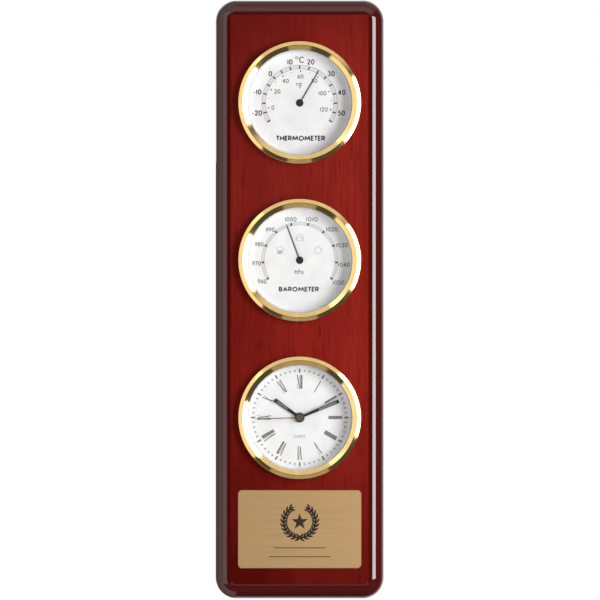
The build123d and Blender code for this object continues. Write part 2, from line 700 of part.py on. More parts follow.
with BuildPart() as thermometer_plate:
    with BuildSketch(face_plane(thermometer, PLATE_BACK_DEPTH)):
        Circle(MOVEMENT_PLATE_RADIUS)
        Circle(BUSH_RADIUS + PRESS_GAP, mode=Mode.SUBTRACT)
    extrude(amount=MOVEMENT_PLATE_THICKNESS)
    with Locations(*screw_places[:BOSS_COUNT]):
        CounterSinkHole(
            MOVEMENT_SCREW_RADIUS + FIT_GAP,
            MOVEMENT_SCREW_HEAD_RADIUS + FIT_GAP,
            counter_sink_angle=COUNTERSINK_ANGLE,
        )
    with BuildSketch(face_plane(thermometer, PLATE_BACK_DEPTH)):
        with Locations(coil_post_place):
            Circle(COIL_POST_RADIUS)
    extrude(amount=PLATE_BACK_DEPTH - bimetal_back)
keep(thermometer_plate, "thermometer_plate")

with BuildPart() as thermometer_bush:
    with BuildSketch(face_plane(thermometer, bush_back)):
        Circle(BUSH_RADIUS)
        Circle(STAFF_RADIUS + FIT_GAP, mode=Mode.SUBTRACT)
    extrude(amount=bush_back - bush_front)
keep(thermometer_bush, "thermometer_bush")

with BuildPart() as thermometer_staff:
    with BuildSketch(face_plane(thermometer, staff_foot)):
        Circle(STAFF_RADIUS)
    extrude(amount=staff_foot - staff_head_depth)
    with BuildSketch(face_plane(thermometer, bimetal_back)):
        Circle(COLLET_RADIUS)
    extrude(amount=BIMETAL_HEIGHT)
keep(thermometer_staff, "thermometer_staff")

with BuildPart() as bimetal_coil:
    extrude(
        spiral_face(
            face_plane(thermometer, bimetal_back),
            BIMETAL_START_RADIUS,
            BIMETAL_PITCH,
            BIMETAL_TURNS,
            BIMETAL_THICKNESS,
        ),
        amount=BIMETAL_HEIGHT,
    )
keep(bimetal_coil, "bimetal_coil")

# Barometer movement, from the movement plate back: sector and pinion, hairspring, bridge,
# rocking shaft, capsule and base plate
barometer = INSERT_HEIGHTS["barometer"]
sector_thickness = SECTOR_SHARE * MOVEMENT_SPACE
pinion_overhang = PINION_OVERHANG_SHARE * MOVEMENT_SPACE
hairspring_height = HAIRSPRING_SHARE * MOVEMENT_SPACE
bridge_thickness = BRIDGE_SHARE * MOVEMENT_SPACE
base_thickness = BASE_PLATE_SHARE * MOVEMENT_SPACE
rocker_thickness = ROCKER_ARM_SHARE * MOVEMENT_SPACE
sector_front = PLATE_BACK_DEPTH + SECTOR_GAP_SHARE * MOVEMENT_SPACE
sector_back = sector_front + sector_thickness
hairspring_front = sector_back + pinion_overhang + HAIRSPRING_GAP_SHARE * MOVEMENT_SPACE
hairspring_back = hairspring_front + hairspring_height
bridge_front = hairspring_back + BRIDGE_GAP_SHARE * MOVEMENT_SPACE
bridge_back = bridge_front + bridge_thickness
base_front = FLOOR_DEPTH - base_thickness
capsule_back = base_front - CAPSULE_SEAT_SHARE * MOVEMENT_SPACE
capsule_front = capsule_back - CAPSULE_SHARE * MOVEMENT_SPACE
stud_front = capsule_front - CAPSULE_STUD_SHARE * MOVEMENT_SPACE
rocker_depth = stud_front - ROCKER_GAP_SHARE * MOVEMENT_SPACE - rocker_thickness / 2
sector_distance = BAROMETER_MODULE * (SECTOR_TEETH + BAROMETER_PINION_TEETH) / 2
sector_pivot = ((sector_distance**2 - SECTOR_PIVOT_DROP**2) ** 0.5, -SECTOR_PIVOT_DROP)
to_pinion = degrees(atan2(-sector_pivot[1], -sector_pivot[0]))
hairspring_end = HAIRSPRING_START_RADIUS + HAIRSPRING_TURNS * HAIRSPRING_PITCH
finger_x = sector_pivot[0] + SECTOR_TAIL - ROCKER_FINGER_WIDTH / 2
finger_y = sector_pivot[1] + SECTOR_TAIL_WIDTH / 2 + ROCKER_FINGER_GAP
ear_x = ROCKER_SHAFT_HALF_LENGTH - EAR_THICKNESS / 2
keep(needle_with_hub(barometer, BAROMETER_READING_ANGLE, ARBOR_RADIUS), "barometer_needle")

with BuildPart() as barometer_plate:
    with BuildSketch(face_plane(barometer, PLATE_BACK_DEPTH)):
        Circle(MOVEMENT_PLATE_RADIUS)
        Circle(ARBOR_RADIUS + FIT_GAP, mode=Mode.SUBTRACT)
        with Locations(sector_pivot):
            Circle(SECTOR_STUD_RADIUS + PRESS_GAP, mode=Mode.SUBTRACT)
    extrude(amount=MOVEMENT_PLATE_THICKNESS)
    with Locations(*screw_places[BOSS_COUNT : 2 * BOSS_COUNT]):
        CounterSinkHole(
            MOVEMENT_SCREW_RADIUS + FIT_GAP,
            MOVEMENT_SCREW_HEAD_RADIUS + FIT_GAP,
            counter_sink_angle=COUNTERSINK_ANGLE,
        )
keep(barometer_plate, "barometer_plate")

# Pinion arbor: runs in the movement plate and the bridge, and carries the needle
with BuildPart() as pinion_arbor:
    with BuildSketch(face_plane(barometer, bridge_back)):
        Circle(ARBOR_RADIUS)
    extrude(amount=bridge_back - staff_head_depth)
    extrude(
        gear_face(
            face_plane(barometer, sector_back + pinion_overhang),
            BAROMETER_PINION_TEETH,
            BAROMETER_MODULE,
            to_pinion + 180,
        ),
        amount=sector_thickness + 2 * pinion_overhang,
    )
keep(pinion_arbor, "pinion_arbor")

# Toothed sector: teeth towards the pinion, a hub on the bridge's stud and a short tail
sector_phase = to_pinion + 180 / SECTOR_TEETH
sector_teeth = tooth_points(
    SECTOR_TEETH, BAROMETER_MODULE, SECTOR_FIRST_TOOTH, SECTOR_TOOTH_COUNT, sector_phase
)
sector_root = BAROMETER_MODULE * (SECTOR_TEETH / 2 - DEDENDUM_SHARE)
sector_middle = sector_phase + (SECTOR_FIRST_TOOTH + (SECTOR_TOOTH_COUNT - 1) / 2) * 360 / SECTOR_TEETH
sector_plane = face_plane(barometer, sector_back)
sector_plane.origin = sector_plane.from_local_coords(sector_pivot)
with BuildPart() as toothed_sector:
    with BuildSketch(sector_plane):
        with BuildLine():
            Polyline((0, 0), *sector_teeth, close=True)
        make_face()
        Circle(sector_root - SECTOR_RIM, mode=Mode.SUBTRACT)
        with Locations(Location((0, 0), sector_middle)):
            Rectangle(sector_root - SECTOR_RIM / 2, 2 * SECTOR_HUB_RADIUS, align=(Align.MIN, Align.CENTER))
        Circle(SECTOR_HUB_RADIUS)
        Rectangle(SECTOR_TAIL, SECTOR_TAIL_WIDTH, align=(Align.MIN, Align.CENTER))
        Circle(SECTOR_STUD_RADIUS + FIT_GAP, mode=Mode.SUBTRACT)
    extrude(amount=sector_thickness)
keep(toothed_sector, "toothed_sector")

with BuildPart() as hairspring:
    extrude(
        spiral_face(
            face_plane(barometer, hairspring_back),
            HAIRSPRING_START_RADIUS,
            HAIRSPRING_PITCH,
            HAIRSPRING_TURNS,
            HAIRSPRING_THICKNESS,
        ),
        amount=hairspring_height,
    )
keep(hairspring, "hairspring")

# Bridge: a bar behind the wheels with a pillar, the sector's stud and the spring's post
with BuildPart() as barometer_bridge:
    with BuildSketch(face_plane(barometer, bridge_back)):
        with Locations((0, 0), (0, BRIDGE_PILLAR_OFFSET)):
            Circle(BRIDGE_HALF_WIDTH)
        Rectangle(2 * BRIDGE_HALF_WIDTH, BRIDGE_PILLAR_OFFSET, align=(Align.CENTER, Align.MIN))
        with Locations(Location((0, 0), to_pinion + 180)):
            Rectangle(sector_distance, 2 * SECTOR_HUB_RADIUS, align=(Align.MIN, Align.CENTER))
        with Locations((hairspring_end, 0)):
            Circle(SECTOR_HUB_RADIUS)
        with Locations(sector_pivot):
            Circle(SECTOR_HUB_RADIUS)
        Circle(ARBOR_RADIUS + FIT_GAP, mode=Mode.SUBTRACT)
    extrude(amount=bridge_thickness)
    with BuildSketch(face_plane(barometer, bridge_front)):
        with Locations((0, BRIDGE_PILLAR_OFFSET)):
            Circle(BRIDGE_PILLAR_RADIUS)
        with Locations(sector_pivot):
            Circle(SECTOR_STUD_RADIUS)
    extrude(amount=bridge_front - PLATE_BACK_DEPTH)
    with BuildSketch(face_plane(barometer, PLATE_BACK_DEPTH)):
        with Locations(sector_pivot):
            Circle(SECTOR_STUD_RADIUS)
    extrude(amount=MOVEMENT_PLATE_THICKNESS)
    with BuildSketch(face_plane(barometer, bridge_front)):
        with Locations((hairspring_end, HAIRSPRING_POST_RADIUS + FIT_GAP)):
            Circle(HAIRSPRING_POST_RADIUS)
    extrude(amount=bridge_front - hairspring_front)
keep(barometer_bridge, "barometer_bridge")

# Rocking shaft: one arm lies on the capsule's stud and a finger stands beside the sector's tail
rocker_plane = Plane(
    origin=(-ROCKER_SHAFT_HALF_LENGTH, rocker_depth - BOARD_THICKNESS, barometer - ROCKER_OFFSET),
    x_dir=(0, 0, 1),
    z_dir=(1, 0, 0),
)
with BuildPart() as rocking_shaft:
    with BuildSketch(rocker_plane):
        Circle(ROCKER_SHAFT_RADIUS)
    extrude(amount=2 * ROCKER_SHAFT_HALF_LENGTH)
    with BuildSketch(face_plane(barometer, rocker_depth + rocker_thickness / 2)):
        with Locations((0, -ROCKER_OFFSET)):
            Rectangle(ROCKER_ARM_WIDTH, ROCKER_OFFSET + ROCKER_ARM_END, align=(Align.CENTER, Align.MIN))
    extrude(amount=rocker_thickness)
    with BuildSketch(face_plane(barometer, rocker_depth)):
        with Locations((finger_x, finger_y)):
            Rectangle(ROCKER_FINGER_WIDTH, ROCKER_SHAFT_RADIUS, align=(Align.MIN, Align.MIN))
    extrude(amount=rocker_depth - sector_front)
keep(rocking_shaft, "rocking_shaft")

with BuildPart() as aneroid_capsule:
    with BuildSketch(profile_plane(barometer)):
        with BuildLine():
            ripple_pitch = (CAPSULE_RADIUS - CAPSULE_STUD_RADIUS) / (2 * CAPSULE_RIPPLES)
            outline = [(0, -capsule_back), (CAPSULE_RADIUS, -capsule_back)]
            for step in range(2 * CAPSULE_RIPPLES + 1):
                dip = CAPSULE_RIPPLE_SHARE * MOVEMENT_SPACE * (step % 2)
                outline.append((CAPSULE_RADIUS - step * ripple_pitch, -capsule_front - dip))
            outline.append((CAPSULE_STUD_RADIUS, -stud_front))
            outline.append((0, -stud_front))
            Polyline(*outline, close=True)
        make_face()
    revolve(axis=dial_axis(barometer))
keep(aneroid_capsule, "aneroid_capsule")

# Base plate: carries the capsule and, in two ears, the rocking shaft
ear_foot = face_plane(barometer, base_front)
with BuildPart() as barometer_base:
    with BuildSketch(face_plane(barometer, FLOOR_DEPTH)):
        Circle(MOVEMENT_PLATE_RADIUS)
        Circle(ADJUSTER_SHANK_RADIUS + FIT_GAP, mode=Mode.SUBTRACT)
        with PolarLocations(BOSS_CIRCLE_RADIUS, BOSS_COUNT, start_angle=BOSS_START):
            Circle(BOSS_RADIUS + BASE_PLATE_BOSS_GAP, mode=Mode.SUBTRACT)
    extrude(amount=base_thickness)
    with BuildSketch(ear_foot):
        with Locations((-ear_x, -ROCKER_OFFSET), (ear_x, -ROCKER_OFFSET)):
            Rectangle(EAR_THICKNESS, EAR_WIDTH)
    extrude(amount=base_front - rocker_depth + ROCKER_SHAFT_RADIUS + EAR_MARGIN)
    with BuildSketch(rocker_plane.offset(-CUT_OVERRUN)):
        Circle(ROCKER_SHAFT_RADIUS + FIT_GAP)
    extrude(amount=2 * ROCKER_SHAFT_HALF_LENGTH + 2 * CUT_OVERRUN, mode=Mode.SUBTRACT)
keep(barometer_base, "barometer_base")

# Adjusting screw: reached through the back of the case, its tip bears on the capsule
adjuster_head_front = CASE_DEPTH - (FLOOR_THICKNESS - ADJUSTER_HEAD_HEIGHT) / 2 - ADJUSTER_HEAD_HEIGHT
with BuildPart() as adjusting_screw:
    with BuildSketch(face_plane(barometer, adjuster_head_front + ADJUSTER_HEAD_HEIGHT)):
        Circle(ADJUSTER_HEAD_RADIUS)
    extrude(amount=ADJUSTER_HEAD_HEIGHT)
    with BuildSketch(face_plane(barometer, adjuster_head_front)):
        Circle(ADJUSTER_SHANK_RADIUS)
    extrude(amount=adjuster_head_front - capsule_back - ADJUSTER_TIP_GAP)
    with BuildSketch(face_plane(barometer, adjuster_head_front + ADJUSTER_HEAD_HEIGHT)):
        Rectangle(2 * ADJUSTER_HEAD_RADIUS, ADJUSTER_SLOT_WIDTH)
    extrude(amount=ADJUSTER_SLOT_DEPTH, mode=Mode.SUBTRACT)
keep(adjusting_screw, "adjusting_screw")

# Clock wheels: where each axis stands and how deep each layer lies
clock = INSERT_HEIGHTS["clock"]
hour_module = 2 * MOTION_DISTANCE / (MINUTE_PINION_TEETH + HOUR_WHEEL_TEETH)
third_distance = GOING_MODULE * (SECOND_PINION_TEETH + THIRD_WHEEL_TEETH) / 2
centre_module = 2 * third_distance / (THIRD_PINION_TEETH + CENTRE_WHEEL_TEETH)
step_distance = GOING_MODULE * (SECOND_WHEEL_TEETH + STEP_PINION_TEETH) / 2
rotor_distance = GOING_MODULE * (STEP_WHEEL_TEETH + ROTOR_PINION_TEETH) / 2
third_axis = polar(third_distance, THIRD_AXIS_ANGLE)
step_axis = polar(step_distance, STEP_AXIS_ANGLE)
rotor_axis = polar(step_distance + rotor_distance, STEP_AXIS_ANGLE)
back_plate_front = FLOOR_DEPTH - BACK_PLATE_THICKNESS
layer_pitch = (back_plate_front - PLATE_BACK_DEPTH) / (STEP_LAYER + LAYER_SPARE_SHARE)
wheel_thickness = WHEEL_SHARE * layer_pitch
wheel_overhang = WHEEL_OVERHANG_SHARE * layer_pitch


def layer_back(number):
    """Depth of the back face of a wheel in a layer, counted from the movement plate."""
    middle = PLATE_BACK_DEPTH + (number - HOUR_LAYER + LAYER_FIRST_SHARE) * layer_pitch
    return middle + wheel_thickness / 2


def wheel(number, teeth, module, phase, centre=(0, 0)):
    """Adds a wheel in its layer to the current piece."""
    extrude(
        gear_face(face_plane(clock, layer_back(number)), teeth, module, phase, centre),
        amount=wheel_thickness,
    )


def pinion(number, teeth, module, phase, centre=(0, 0)):
    """Adds a pinion, a little longer than the wheel it meets, to the current piece."""
    extrude(
        gear_face(face_plane(clock, layer_back(number) + wheel_overhang), teeth, module, phase, centre),
        amount=wheel_thickness + 2 * wheel_overhang,
    )


def rod(back, front, radius, centre=(0, 0), mode=Mode.ADD):
    """Adds or cuts a round rod between two depths of the clock."""
    with BuildSketch(face_plane(clock, back)) as section:
        with Locations(centre):
            Circle(radius)
    extrude(section.sketch, amount=back - front, mode=mode)


def drill(back, front, radius, centre=(0, 0)):
    """Cuts a round hole through a piece of the clock, with an overrun at both ends."""
    rod(back + CUT_OVERRUN, front - CUT_OVERRUN, radius, centre, Mode.SUBTRACT)


hour_hand_back = DIAL_DEPTH - HAND_DIAL_GAP
minute_hand_back = hour_hand_back - HAND_THICKNESS - HAND_GAP
second_hand_back = minute_hand_back - HAND_THICKNESS - HAND_GAP
hour_pipe_end = hour_hand_back - HAND_THICKNESS - HAND_PIPE_STAND
cannon_pipe_end = minute_hand_back - HAND_THICKNESS - HAND_PIPE_STAND
second_arbor_end = second_hand_back - SECOND_CAP_HEIGHT / 2

# Hour wheel and its pipe, around the cannon pinion's pipe, around the second wheel's arbor
with BuildPart() as hour_wheel:
    wheel(HOUR_LAYER, HOUR_WHEEL_TEETH, hour_module, MINUTE_AXIS_ANGLE + 180 / HOUR_WHEEL_TEETH)
    rod(layer_back(HOUR_LAYER), hour_pipe_end, HOUR_PIPE_RADIUS)
    drill(layer_back(HOUR_LAYER), hour_pipe_end, CANNON_PIPE_RADIUS + FIT_GAP)
keep(hour_wheel, "hour_wheel")

cannon_back = layer_back(CENTRE_LAYER) + CANNON_TAIL_SHARE * layer_pitch
with BuildPart() as cannon_pinion:
    pinion(MINUTE_LAYER, CANNON_TEETH, MOTION_MODULE, MINUTE_AXIS_ANGLE)
    rod(cannon_back, cannon_pipe_end, CANNON_PIPE_RADIUS)
    drill(cannon_back, cannon_pipe_end, SECOND_ARBOR_RADIUS + FIT_GAP)
keep(cannon_pinion, "cannon_pinion")

# Centre wheel: a slipping fit on the cannon pinion's tail, so that the hands can be set
with BuildPart() as centre_wheel:
    wheel(CENTRE_LAYER, CENTRE_WHEEL_TEETH, centre_module, THIRD_AXIS_ANGLE + 180 / CENTRE_WHEEL_TEETH)
    drill(layer_back(CENTRE_LAYER), layer_back(MINUTE_LAYER), CANNON_PIPE_RADIUS + FIT_GAP)
keep(centre_wheel, "centre_wheel")

with BuildPart() as second_wheel:
    wheel(SECOND_LAYER, SECOND_WHEEL_TEETH, GOING_MODULE, STEP_AXIS_ANGLE + 180 / SECOND_WHEEL_TEETH)
    pinion(THIRD_LAYER, SECOND_PINION_TEETH, GOING_MODULE, THIRD_AXIS_ANGLE)
    rod(FLOOR_DEPTH - FIT_GAP, second_arbor_end, SECOND_ARBOR_RADIUS)
keep(second_wheel, "second_wheel")

with BuildPart() as third_wheel:
    gap_phase = THIRD_AXIS_ANGLE + 180 + 180 / THIRD_WHEEL_TEETH
    wheel(THIRD_LAYER, THIRD_WHEEL_TEETH, GOING_MODULE, gap_phase, third_axis)
    pinion(CENTRE_LAYER, THIRD_PINION_TEETH, centre_module, THIRD_AXIS_ANGLE + 180, third_axis)
    rod(FLOOR_DEPTH - FIT_GAP, PLATE_FRONT_DEPTH + FIT_GAP, THIRD_ARBOR_RADIUS, third_axis)
keep(third_wheel, "third_wheel")

# Minute wheel: gears the cannon pinion down to the hour wheel, and its arbor carries the setting knob
knob_front = CASE_DEPTH + KNOB_FLOOR_GAP
with BuildPart() as minute_wheel:
    gap_phase = MINUTE_AXIS_ANGLE + 180 + 180 / MINUTE_WHEEL_TEETH
    wheel(MINUTE_LAYER, MINUTE_WHEEL_TEETH, MOTION_MODULE, gap_phase, MINUTE_AXIS)
    pinion(HOUR_LAYER, MINUTE_PINION_TEETH, hour_module, MINUTE_AXIS_ANGLE + 180, MINUTE_AXIS)
    rod(knob_front + KNOB_HEIGHT / 2, PLATE_FRONT_DEPTH + FIT_GAP, MINUTE_ARBOR_RADIUS, MINUTE_AXIS)
keep(minute_wheel, "minute_wheel")

# Step wheel and rotor: both run on posts of the back plate
step_hole = WHEEL_POST_RADIUS + FIT_GAP
with BuildPart() as step_wheel:
    gap_phase = STEP_AXIS_ANGLE + 180 / STEP_WHEEL_TEETH
    wheel(STEP_LAYER, STEP_WHEEL_TEETH, GOING_MODULE, gap_phase, step_axis)
    pinion(SECOND_LAYER, STEP_PINION_TEETH, GOING_MODULE, STEP_AXIS_ANGLE + 180, step_axis)
    pipe_radius = GOING_MODULE * STEP_PINION_TEETH / 2 - GOING_MODULE
    rod(layer_back(STEP_LAYER), layer_back(SECOND_LAYER), pipe_radius, step_axis)
    drill(layer_back(STEP_LAYER), layer_back(SECOND_LAYER), step_hole, step_axis)
keep(step_wheel, "step_wheel")

magnet_back = layer_back(STEP_LAYER) - wheel_thickness - wheel_overhang
magnet_front = magnet_back - MAGNET_SHARE * layer_pitch
with BuildPart() as rotor:
    pinion(STEP_LAYER, ROTOR_PINION_TEETH, GOING_MODULE, STEP_AXIS_ANGLE + 180, rotor_axis)
    rod(magnet_back, magnet_front, MAGNET_RADIUS, rotor_axis)
    drill(layer_back(STEP_LAYER), magnet_front, step_hole, rotor_axis)
keep(rotor, "rotor")

# Stator: a U of laminated iron with the rotor's hole in its base, on two posts of the back plate
stator_thickness = STATOR_SHARE * layer_pitch
stator_front = layer_back(THIRD_LAYER) + STATOR_LAYER_SHARE * layer_pitch
stator_back = stator_front + stator_thickness
stator_base_half = MAGNET_RADIUS + STATOR_GAP + STATOR_WEB
coil_y = rotor_axis[1] + COIL_DISTANCE
leg_top = coil_y + STATOR_LEG_WIDTH / 2
leg_places = [STATOR_LEFT + STATOR_LEG_WIDTH / 2, STATOR_RIGHT - STATOR_LEG_WIDTH / 2]
post_y = (rotor_axis[1] + stator_base_half + coil_y) / 2
with BuildPart() as stator:
    with BuildSketch(face_plane(clock, stator_back)):
        with Locations((STATOR_LEFT, rotor_axis[1])):
            Rectangle(STATOR_RIGHT - STATOR_LEFT, 2 * stator_base_half, align=(Align.MIN, Align.CENTER))
        with Locations(*[(x, rotor_axis[1]) for x in leg_places]):
            Rectangle(STATOR_LEG_WIDTH, leg_top - rotor_axis[1], align=(Align.CENTER, Align.MIN))
        with Locations(rotor_axis):
            Circle(MAGNET_RADIUS + STATOR_GAP, mode=Mode.SUBTRACT)
    extrude(amount=stator_thickness)
keep(stator, "stator")

# Drive coil: a bobbin on an iron core that bridges the stator's legs, and its copper winding
bobbin_half = (leg_places[1] - leg_places[0] - STATOR_LEG_WIDTH) / 2 - COIL_FLANGE_THICKNESS
coil_x = (leg_places[0] + leg_places[1]) / 2
core_depth = stator_front - COIL_CORE_THICKNESS / 2
with BuildPart() as coil_bobbin:
    with BuildSketch(face_plane(clock, stator_front)):
        with Locations((coil_x, coil_y)):
            Rectangle(STATOR_RIGHT - STATOR_LEFT, COIL_CORE_WIDTH)
    extrude(amount=COIL_CORE_THICKNESS)
    with BuildSketch(face_plane(clock, core_depth + COIL_FLANGE_HALF_HEIGHT)):
        with Locations(
            (coil_x - bobbin_half, coil_y),
            (coil_x + bobbin_half, coil_y),
        ):
            Rectangle(COIL_FLANGE_THICKNESS, 2 * COIL_FLANGE_HALF_WIDTH)
    extrude(amount=2 * COIL_FLANGE_HALF_HEIGHT)
keep(coil_bobbin, "coil_bobbin")

winding_end = bobbin_half - COIL_FLANGE_THICKNESS / 2 - FIT_GAP
winding_plane = Plane(
    origin=face_plane(clock, core_depth).from_local_coords((coil_x - winding_end, coil_y)),
    x_dir=(0, 0, 1),
    z_dir=(1, 0, 0),
)
with BuildPart() as coil_winding:
    with BuildSketch(winding_plane):
        RectangleRounded(
            COIL_CORE_WIDTH + 2 * COIL_WINDING_WALL,
            COIL_CORE_THICKNESS + 2 * COIL_WINDING_WALL,
            COIL_WINDING_WALL,
        )
        Rectangle(COIL_CORE_WIDTH + 2 * PRESS_GAP, COIL_CORE_THICKNESS + 2 * PRESS_GAP, mode=Mode.SUBTRACT)
    extrude(amount=2 * winding_end)
keep(coil_winding, "coil_winding")

# Back plate: bearings, wheel posts, motor and circuit posts and the battery's well
battery_place = (BATTERY_X, BATTERY_Y)
well_radius = BATTERY_RADIUS + BATTERY_WELL_GAP
contact_reach = well_radius + BATTERY_WELL_WALL
circuit_back = back_plate_front - CIRCUIT_POST_SHARE * layer_pitch
battery_back = CASE_DEPTH - FLOOR_THICKNESS / 2 - BATTERY_DOOR_GAP
battery_front = battery_back - BATTERY_THICKNESS
contact_back = battery_front - FIT_GAP
circuit_post_offset = CIRCUIT_HEIGHT / 2 - CIRCUIT_POST_RADIUS
circuit_posts = [(CIRCUIT_X, CIRCUIT_Y + side * circuit_post_offset) for side in (-1, 1)]
with BuildPart() as movement_back_plate:
    with BuildSketch(face_plane(clock, FLOOR_DEPTH)):
        Circle(MOVEMENT_PLATE_RADIUS)
        with PolarLocations(BOSS_CIRCLE_RADIUS, BOSS_COUNT, start_angle=BOSS_START):
            Circle(BOSS_RADIUS + BASE_PLATE_BOSS_GAP, mode=Mode.SUBTRACT)
    extrude(amount=BACK_PLATE_THICKNESS)
    rod(back_plate_front, contact_back, contact_reach, battery_place)
    rod(FLOOR_DEPTH, contact_back - CUT_OVERRUN, well_radius, battery_place, Mode.SUBTRACT)
    for x in leg_places:
        rod(back_plate_front, stator_back, STATOR_POST_RADIUS, (x, post_y))
    for place in circuit_posts:
        rod(back_plate_front, circuit_back, CIRCUIT_POST_RADIUS, place)
    rod(back_plate_front, layer_back(SECOND_LAYER) - wheel_thickness, WHEEL_POST_RADIUS, step_axis)
    rod(back_plate_front, magnet_front, WHEEL_POST_RADIUS, rotor_axis)
    drill(FLOOR_DEPTH, back_plate_front, SECOND_ARBOR_RADIUS + FIT_GAP)
    drill(FLOOR_DEPTH, back_plate_front, THIRD_ARBOR_RADIUS + FIT_GAP, third_axis)
    drill(FLOOR_DEPTH, back_plate_front, MINUTE_ARBOR_RADIUS + FIT_GAP, MINUTE_AXIS)
keep(movement_back_plate, "movement_back_plate")

with BuildPart() as movement_front_plate:
    with BuildSketch(face_plane(clock, PLATE_BACK_DEPTH)):
        Circle(MOVEMENT_PLATE_RADIUS)
        Circle(HOUR_PIPE_RADIUS + FIT_GAP, mode=Mode.SUBTRACT)
        with Locations(third_axis):
            Circle(THIRD_ARBOR_RADIUS + FIT_GAP, mode=Mode.SUBTRACT)
        with Locations(MINUTE_AXIS):
            Circle(MINUTE_ARBOR_RADIUS + FIT_GAP, mode=Mode.SUBTRACT)
        with Locations(battery_place):
            Circle(contact_reach + BATTERY_WELL_GAP, mode=Mode.SUBTRACT)
            Rectangle(
                contact_reach + CONTACT_TAIL + BATTERY_WELL_GAP,
                CONTACT_WIDTH + 2 * BATTERY_WELL_GAP,
                align=(Align.MIN, Align.CENTER),
                mode=Mode.SUBTRACT,
            )
    extrude(amount=MOVEMENT_PLATE_THICKNESS)
    with Locations(*screw_places[2 * BOSS_COUNT :]):
        CounterSinkHole(
            MOVEMENT_SCREW_RADIUS + FIT_GAP,
            MOVEMENT_SCREW_HEAD_RADIUS + FIT_GAP,
            counter_sink_angle=COUNTERSINK_ANGLE,
        )
keep(movement_front_plate, "movement_front_plate")

# Circuit board with its sealed chip, and the quartz crystal in its metal can
circuit_front = circuit_back - CIRCUIT_THICKNESS
crystal_y = CIRCUIT_Y + CIRCUIT_HEIGHT / 2 - 2 * CRYSTAL_RADIUS
with BuildPart() as circuit_board:
    with BuildSketch(face_plane(clock, circuit_back)):
        with Locations((CIRCUIT_X, CIRCUIT_Y)):
            RectangleRounded(CIRCUIT_WIDTH, CIRCUIT_HEIGHT, CIRCUIT_CORNER)
    extrude(amount=CIRCUIT_THICKNESS)
    with BuildSketch(face_plane(clock, circuit_front)):
        with Locations((CIRCUIT_X, CIRCUIT_Y - CHIP_SIZE / 2)):
            RectangleRounded(CHIP_SIZE, CHIP_SIZE, CIRCUIT_CORNER)
    extrude(amount=CHIP_THICKNESS)
keep(circuit_board, "circuit_board")

crystal_plane = Plane(
    origin=face_plane(clock, circuit_front - CRYSTAL_RADIUS - FIT_GAP).from_local_coords(
        (CIRCUIT_X - CRYSTAL_LENGTH / 2, crystal_y)
    ),
    x_dir=(0, 0, 1),
    z_dir=(1, 0, 0),
)
with BuildPart() as quartz_crystal:
    with BuildSketch(crystal_plane):
        Circle(CRYSTAL_RADIUS)
    extrude(amount=CRYSTAL_LENGTH)
keep(quartz_crystal, "quartz_crystal")

# Button cell in its well, two spring contacts and the round door in the back of the case
with BuildPart() as battery:
    rod(battery_back, battery_front + BATTERY_STEP, BATTERY_RADIUS, battery_place)
    rod(battery_front + BATTERY_STEP, battery_front, BATTERY_RADIUS - BATTERY_STEP, battery_place)
keep(battery, "battery")

with BuildPart() as battery_contacts:
    with BuildSketch(face_plane(clock, contact_back)):
        with Locations(battery_place):
            Rectangle(contact_reach + CONTACT_TAIL, CONTACT_WIDTH, align=(Align.MIN, Align.CENTER))
    extrude(amount=CONTACT_THICKNESS)
    with BuildSketch(face_plane(clock, back_plate_front)):
        with Locations((BATTERY_X, BATTERY_Y + contact_reach + PRESS_GAP)):
            Rectangle(CONTACT_WIDTH, CONTACT_THICKNESS, align=(Align.CENTER, Align.MIN))
    extrude(amount=back_plate_front - contact_back)
keep(battery_contacts, "battery_contacts")

door_front = CASE_DEPTH - FLOOR_THICKNESS / 2
with BuildPart() as battery_door:
    rod(CASE_DEPTH, door_front, well_radius + DOOR_OVERHANG - DOOR_GAP, battery_place)
    chamfer(battery_door.faces().sort_by(Axis.Y)[-1].edges(), length=DOOR_EDGE_BREAK)
    with BuildSketch(face_plane(clock, CASE_DEPTH)):
        with Locations(battery_place):
            SlotOverall(DOOR_GRIP_LENGTH, 2 * DOOR_GRIP_RADIUS)
    extrude(amount=DOOR_GRIP_DEPTH, mode=Mode.SUBTRACT)
keep(battery_door, "battery_door")

# Setting knob: fluted, pressed on the minute wheel's arbor behind the case
knob_back = knob_front + KNOB_HEIGHT
with BuildPart() as setting_knob:
    with BuildSketch(face_plane(clock, knob_back)):
        with Locations(MINUTE_AXIS):
            Circle(KNOB_RADIUS)
            with PolarLocations(KNOB_RADIUS, KNOB_FLUTES):
                Circle(KNOB_FLUTE_RADIUS, mode=Mode.SUBTRACT)
    extrude(amount=KNOB_HEIGHT)
    chamfer(setting_knob.faces().sort_by(Axis.Y)[-1].edges(), length=KNOB_ROUND)
    rod(
        knob_front + KNOB_HEIGHT / 2 + PRESS_GAP,
        knob_front,
        MINUTE_ARBOR_RADIUS + PRESS_GAP,
        MINUTE_AXIS,
        Mode.SUBTRACT,
    )
keep(setting_knob, "setting_knob")


def baton_face(depth, angle, length, root_width, end_width, hub_radius, bore_radius):
    """Face of a baton hand that widens towards a blunt point, with its hub and hole."""
    with BuildSketch(face_plane(clock, depth, angle)) as face:
        with BuildLine():
            Polyline(
                (-root_width / 2, 0),
                (-end_width / 2, length - HAND_POINT),
                (0, length),
                (end_width / 2, length - HAND_POINT),
                (root_width / 2, 0),
                close=True,
            )
        make_face()
        Circle(hub_radius)
        Circle(bore_radius, mode=Mode.SUBTRACT)
    return face.sketch


# Hands
with BuildPart() as hour_hand:
    extrude(
        baton_face(
            hour_hand_back,
            HOUR_ANGLE,
            HOUR_HAND_LENGTH,
            HOUR_HAND_ROOT_WIDTH,
            HOUR_HAND_END_WIDTH,
            HOUR_HAND_HUB_RADIUS,
            HOUR_PIPE_RADIUS + PRESS_GAP,
        ),
        amount=HAND_THICKNESS,
    )
keep(hour_hand, "hour_hand")

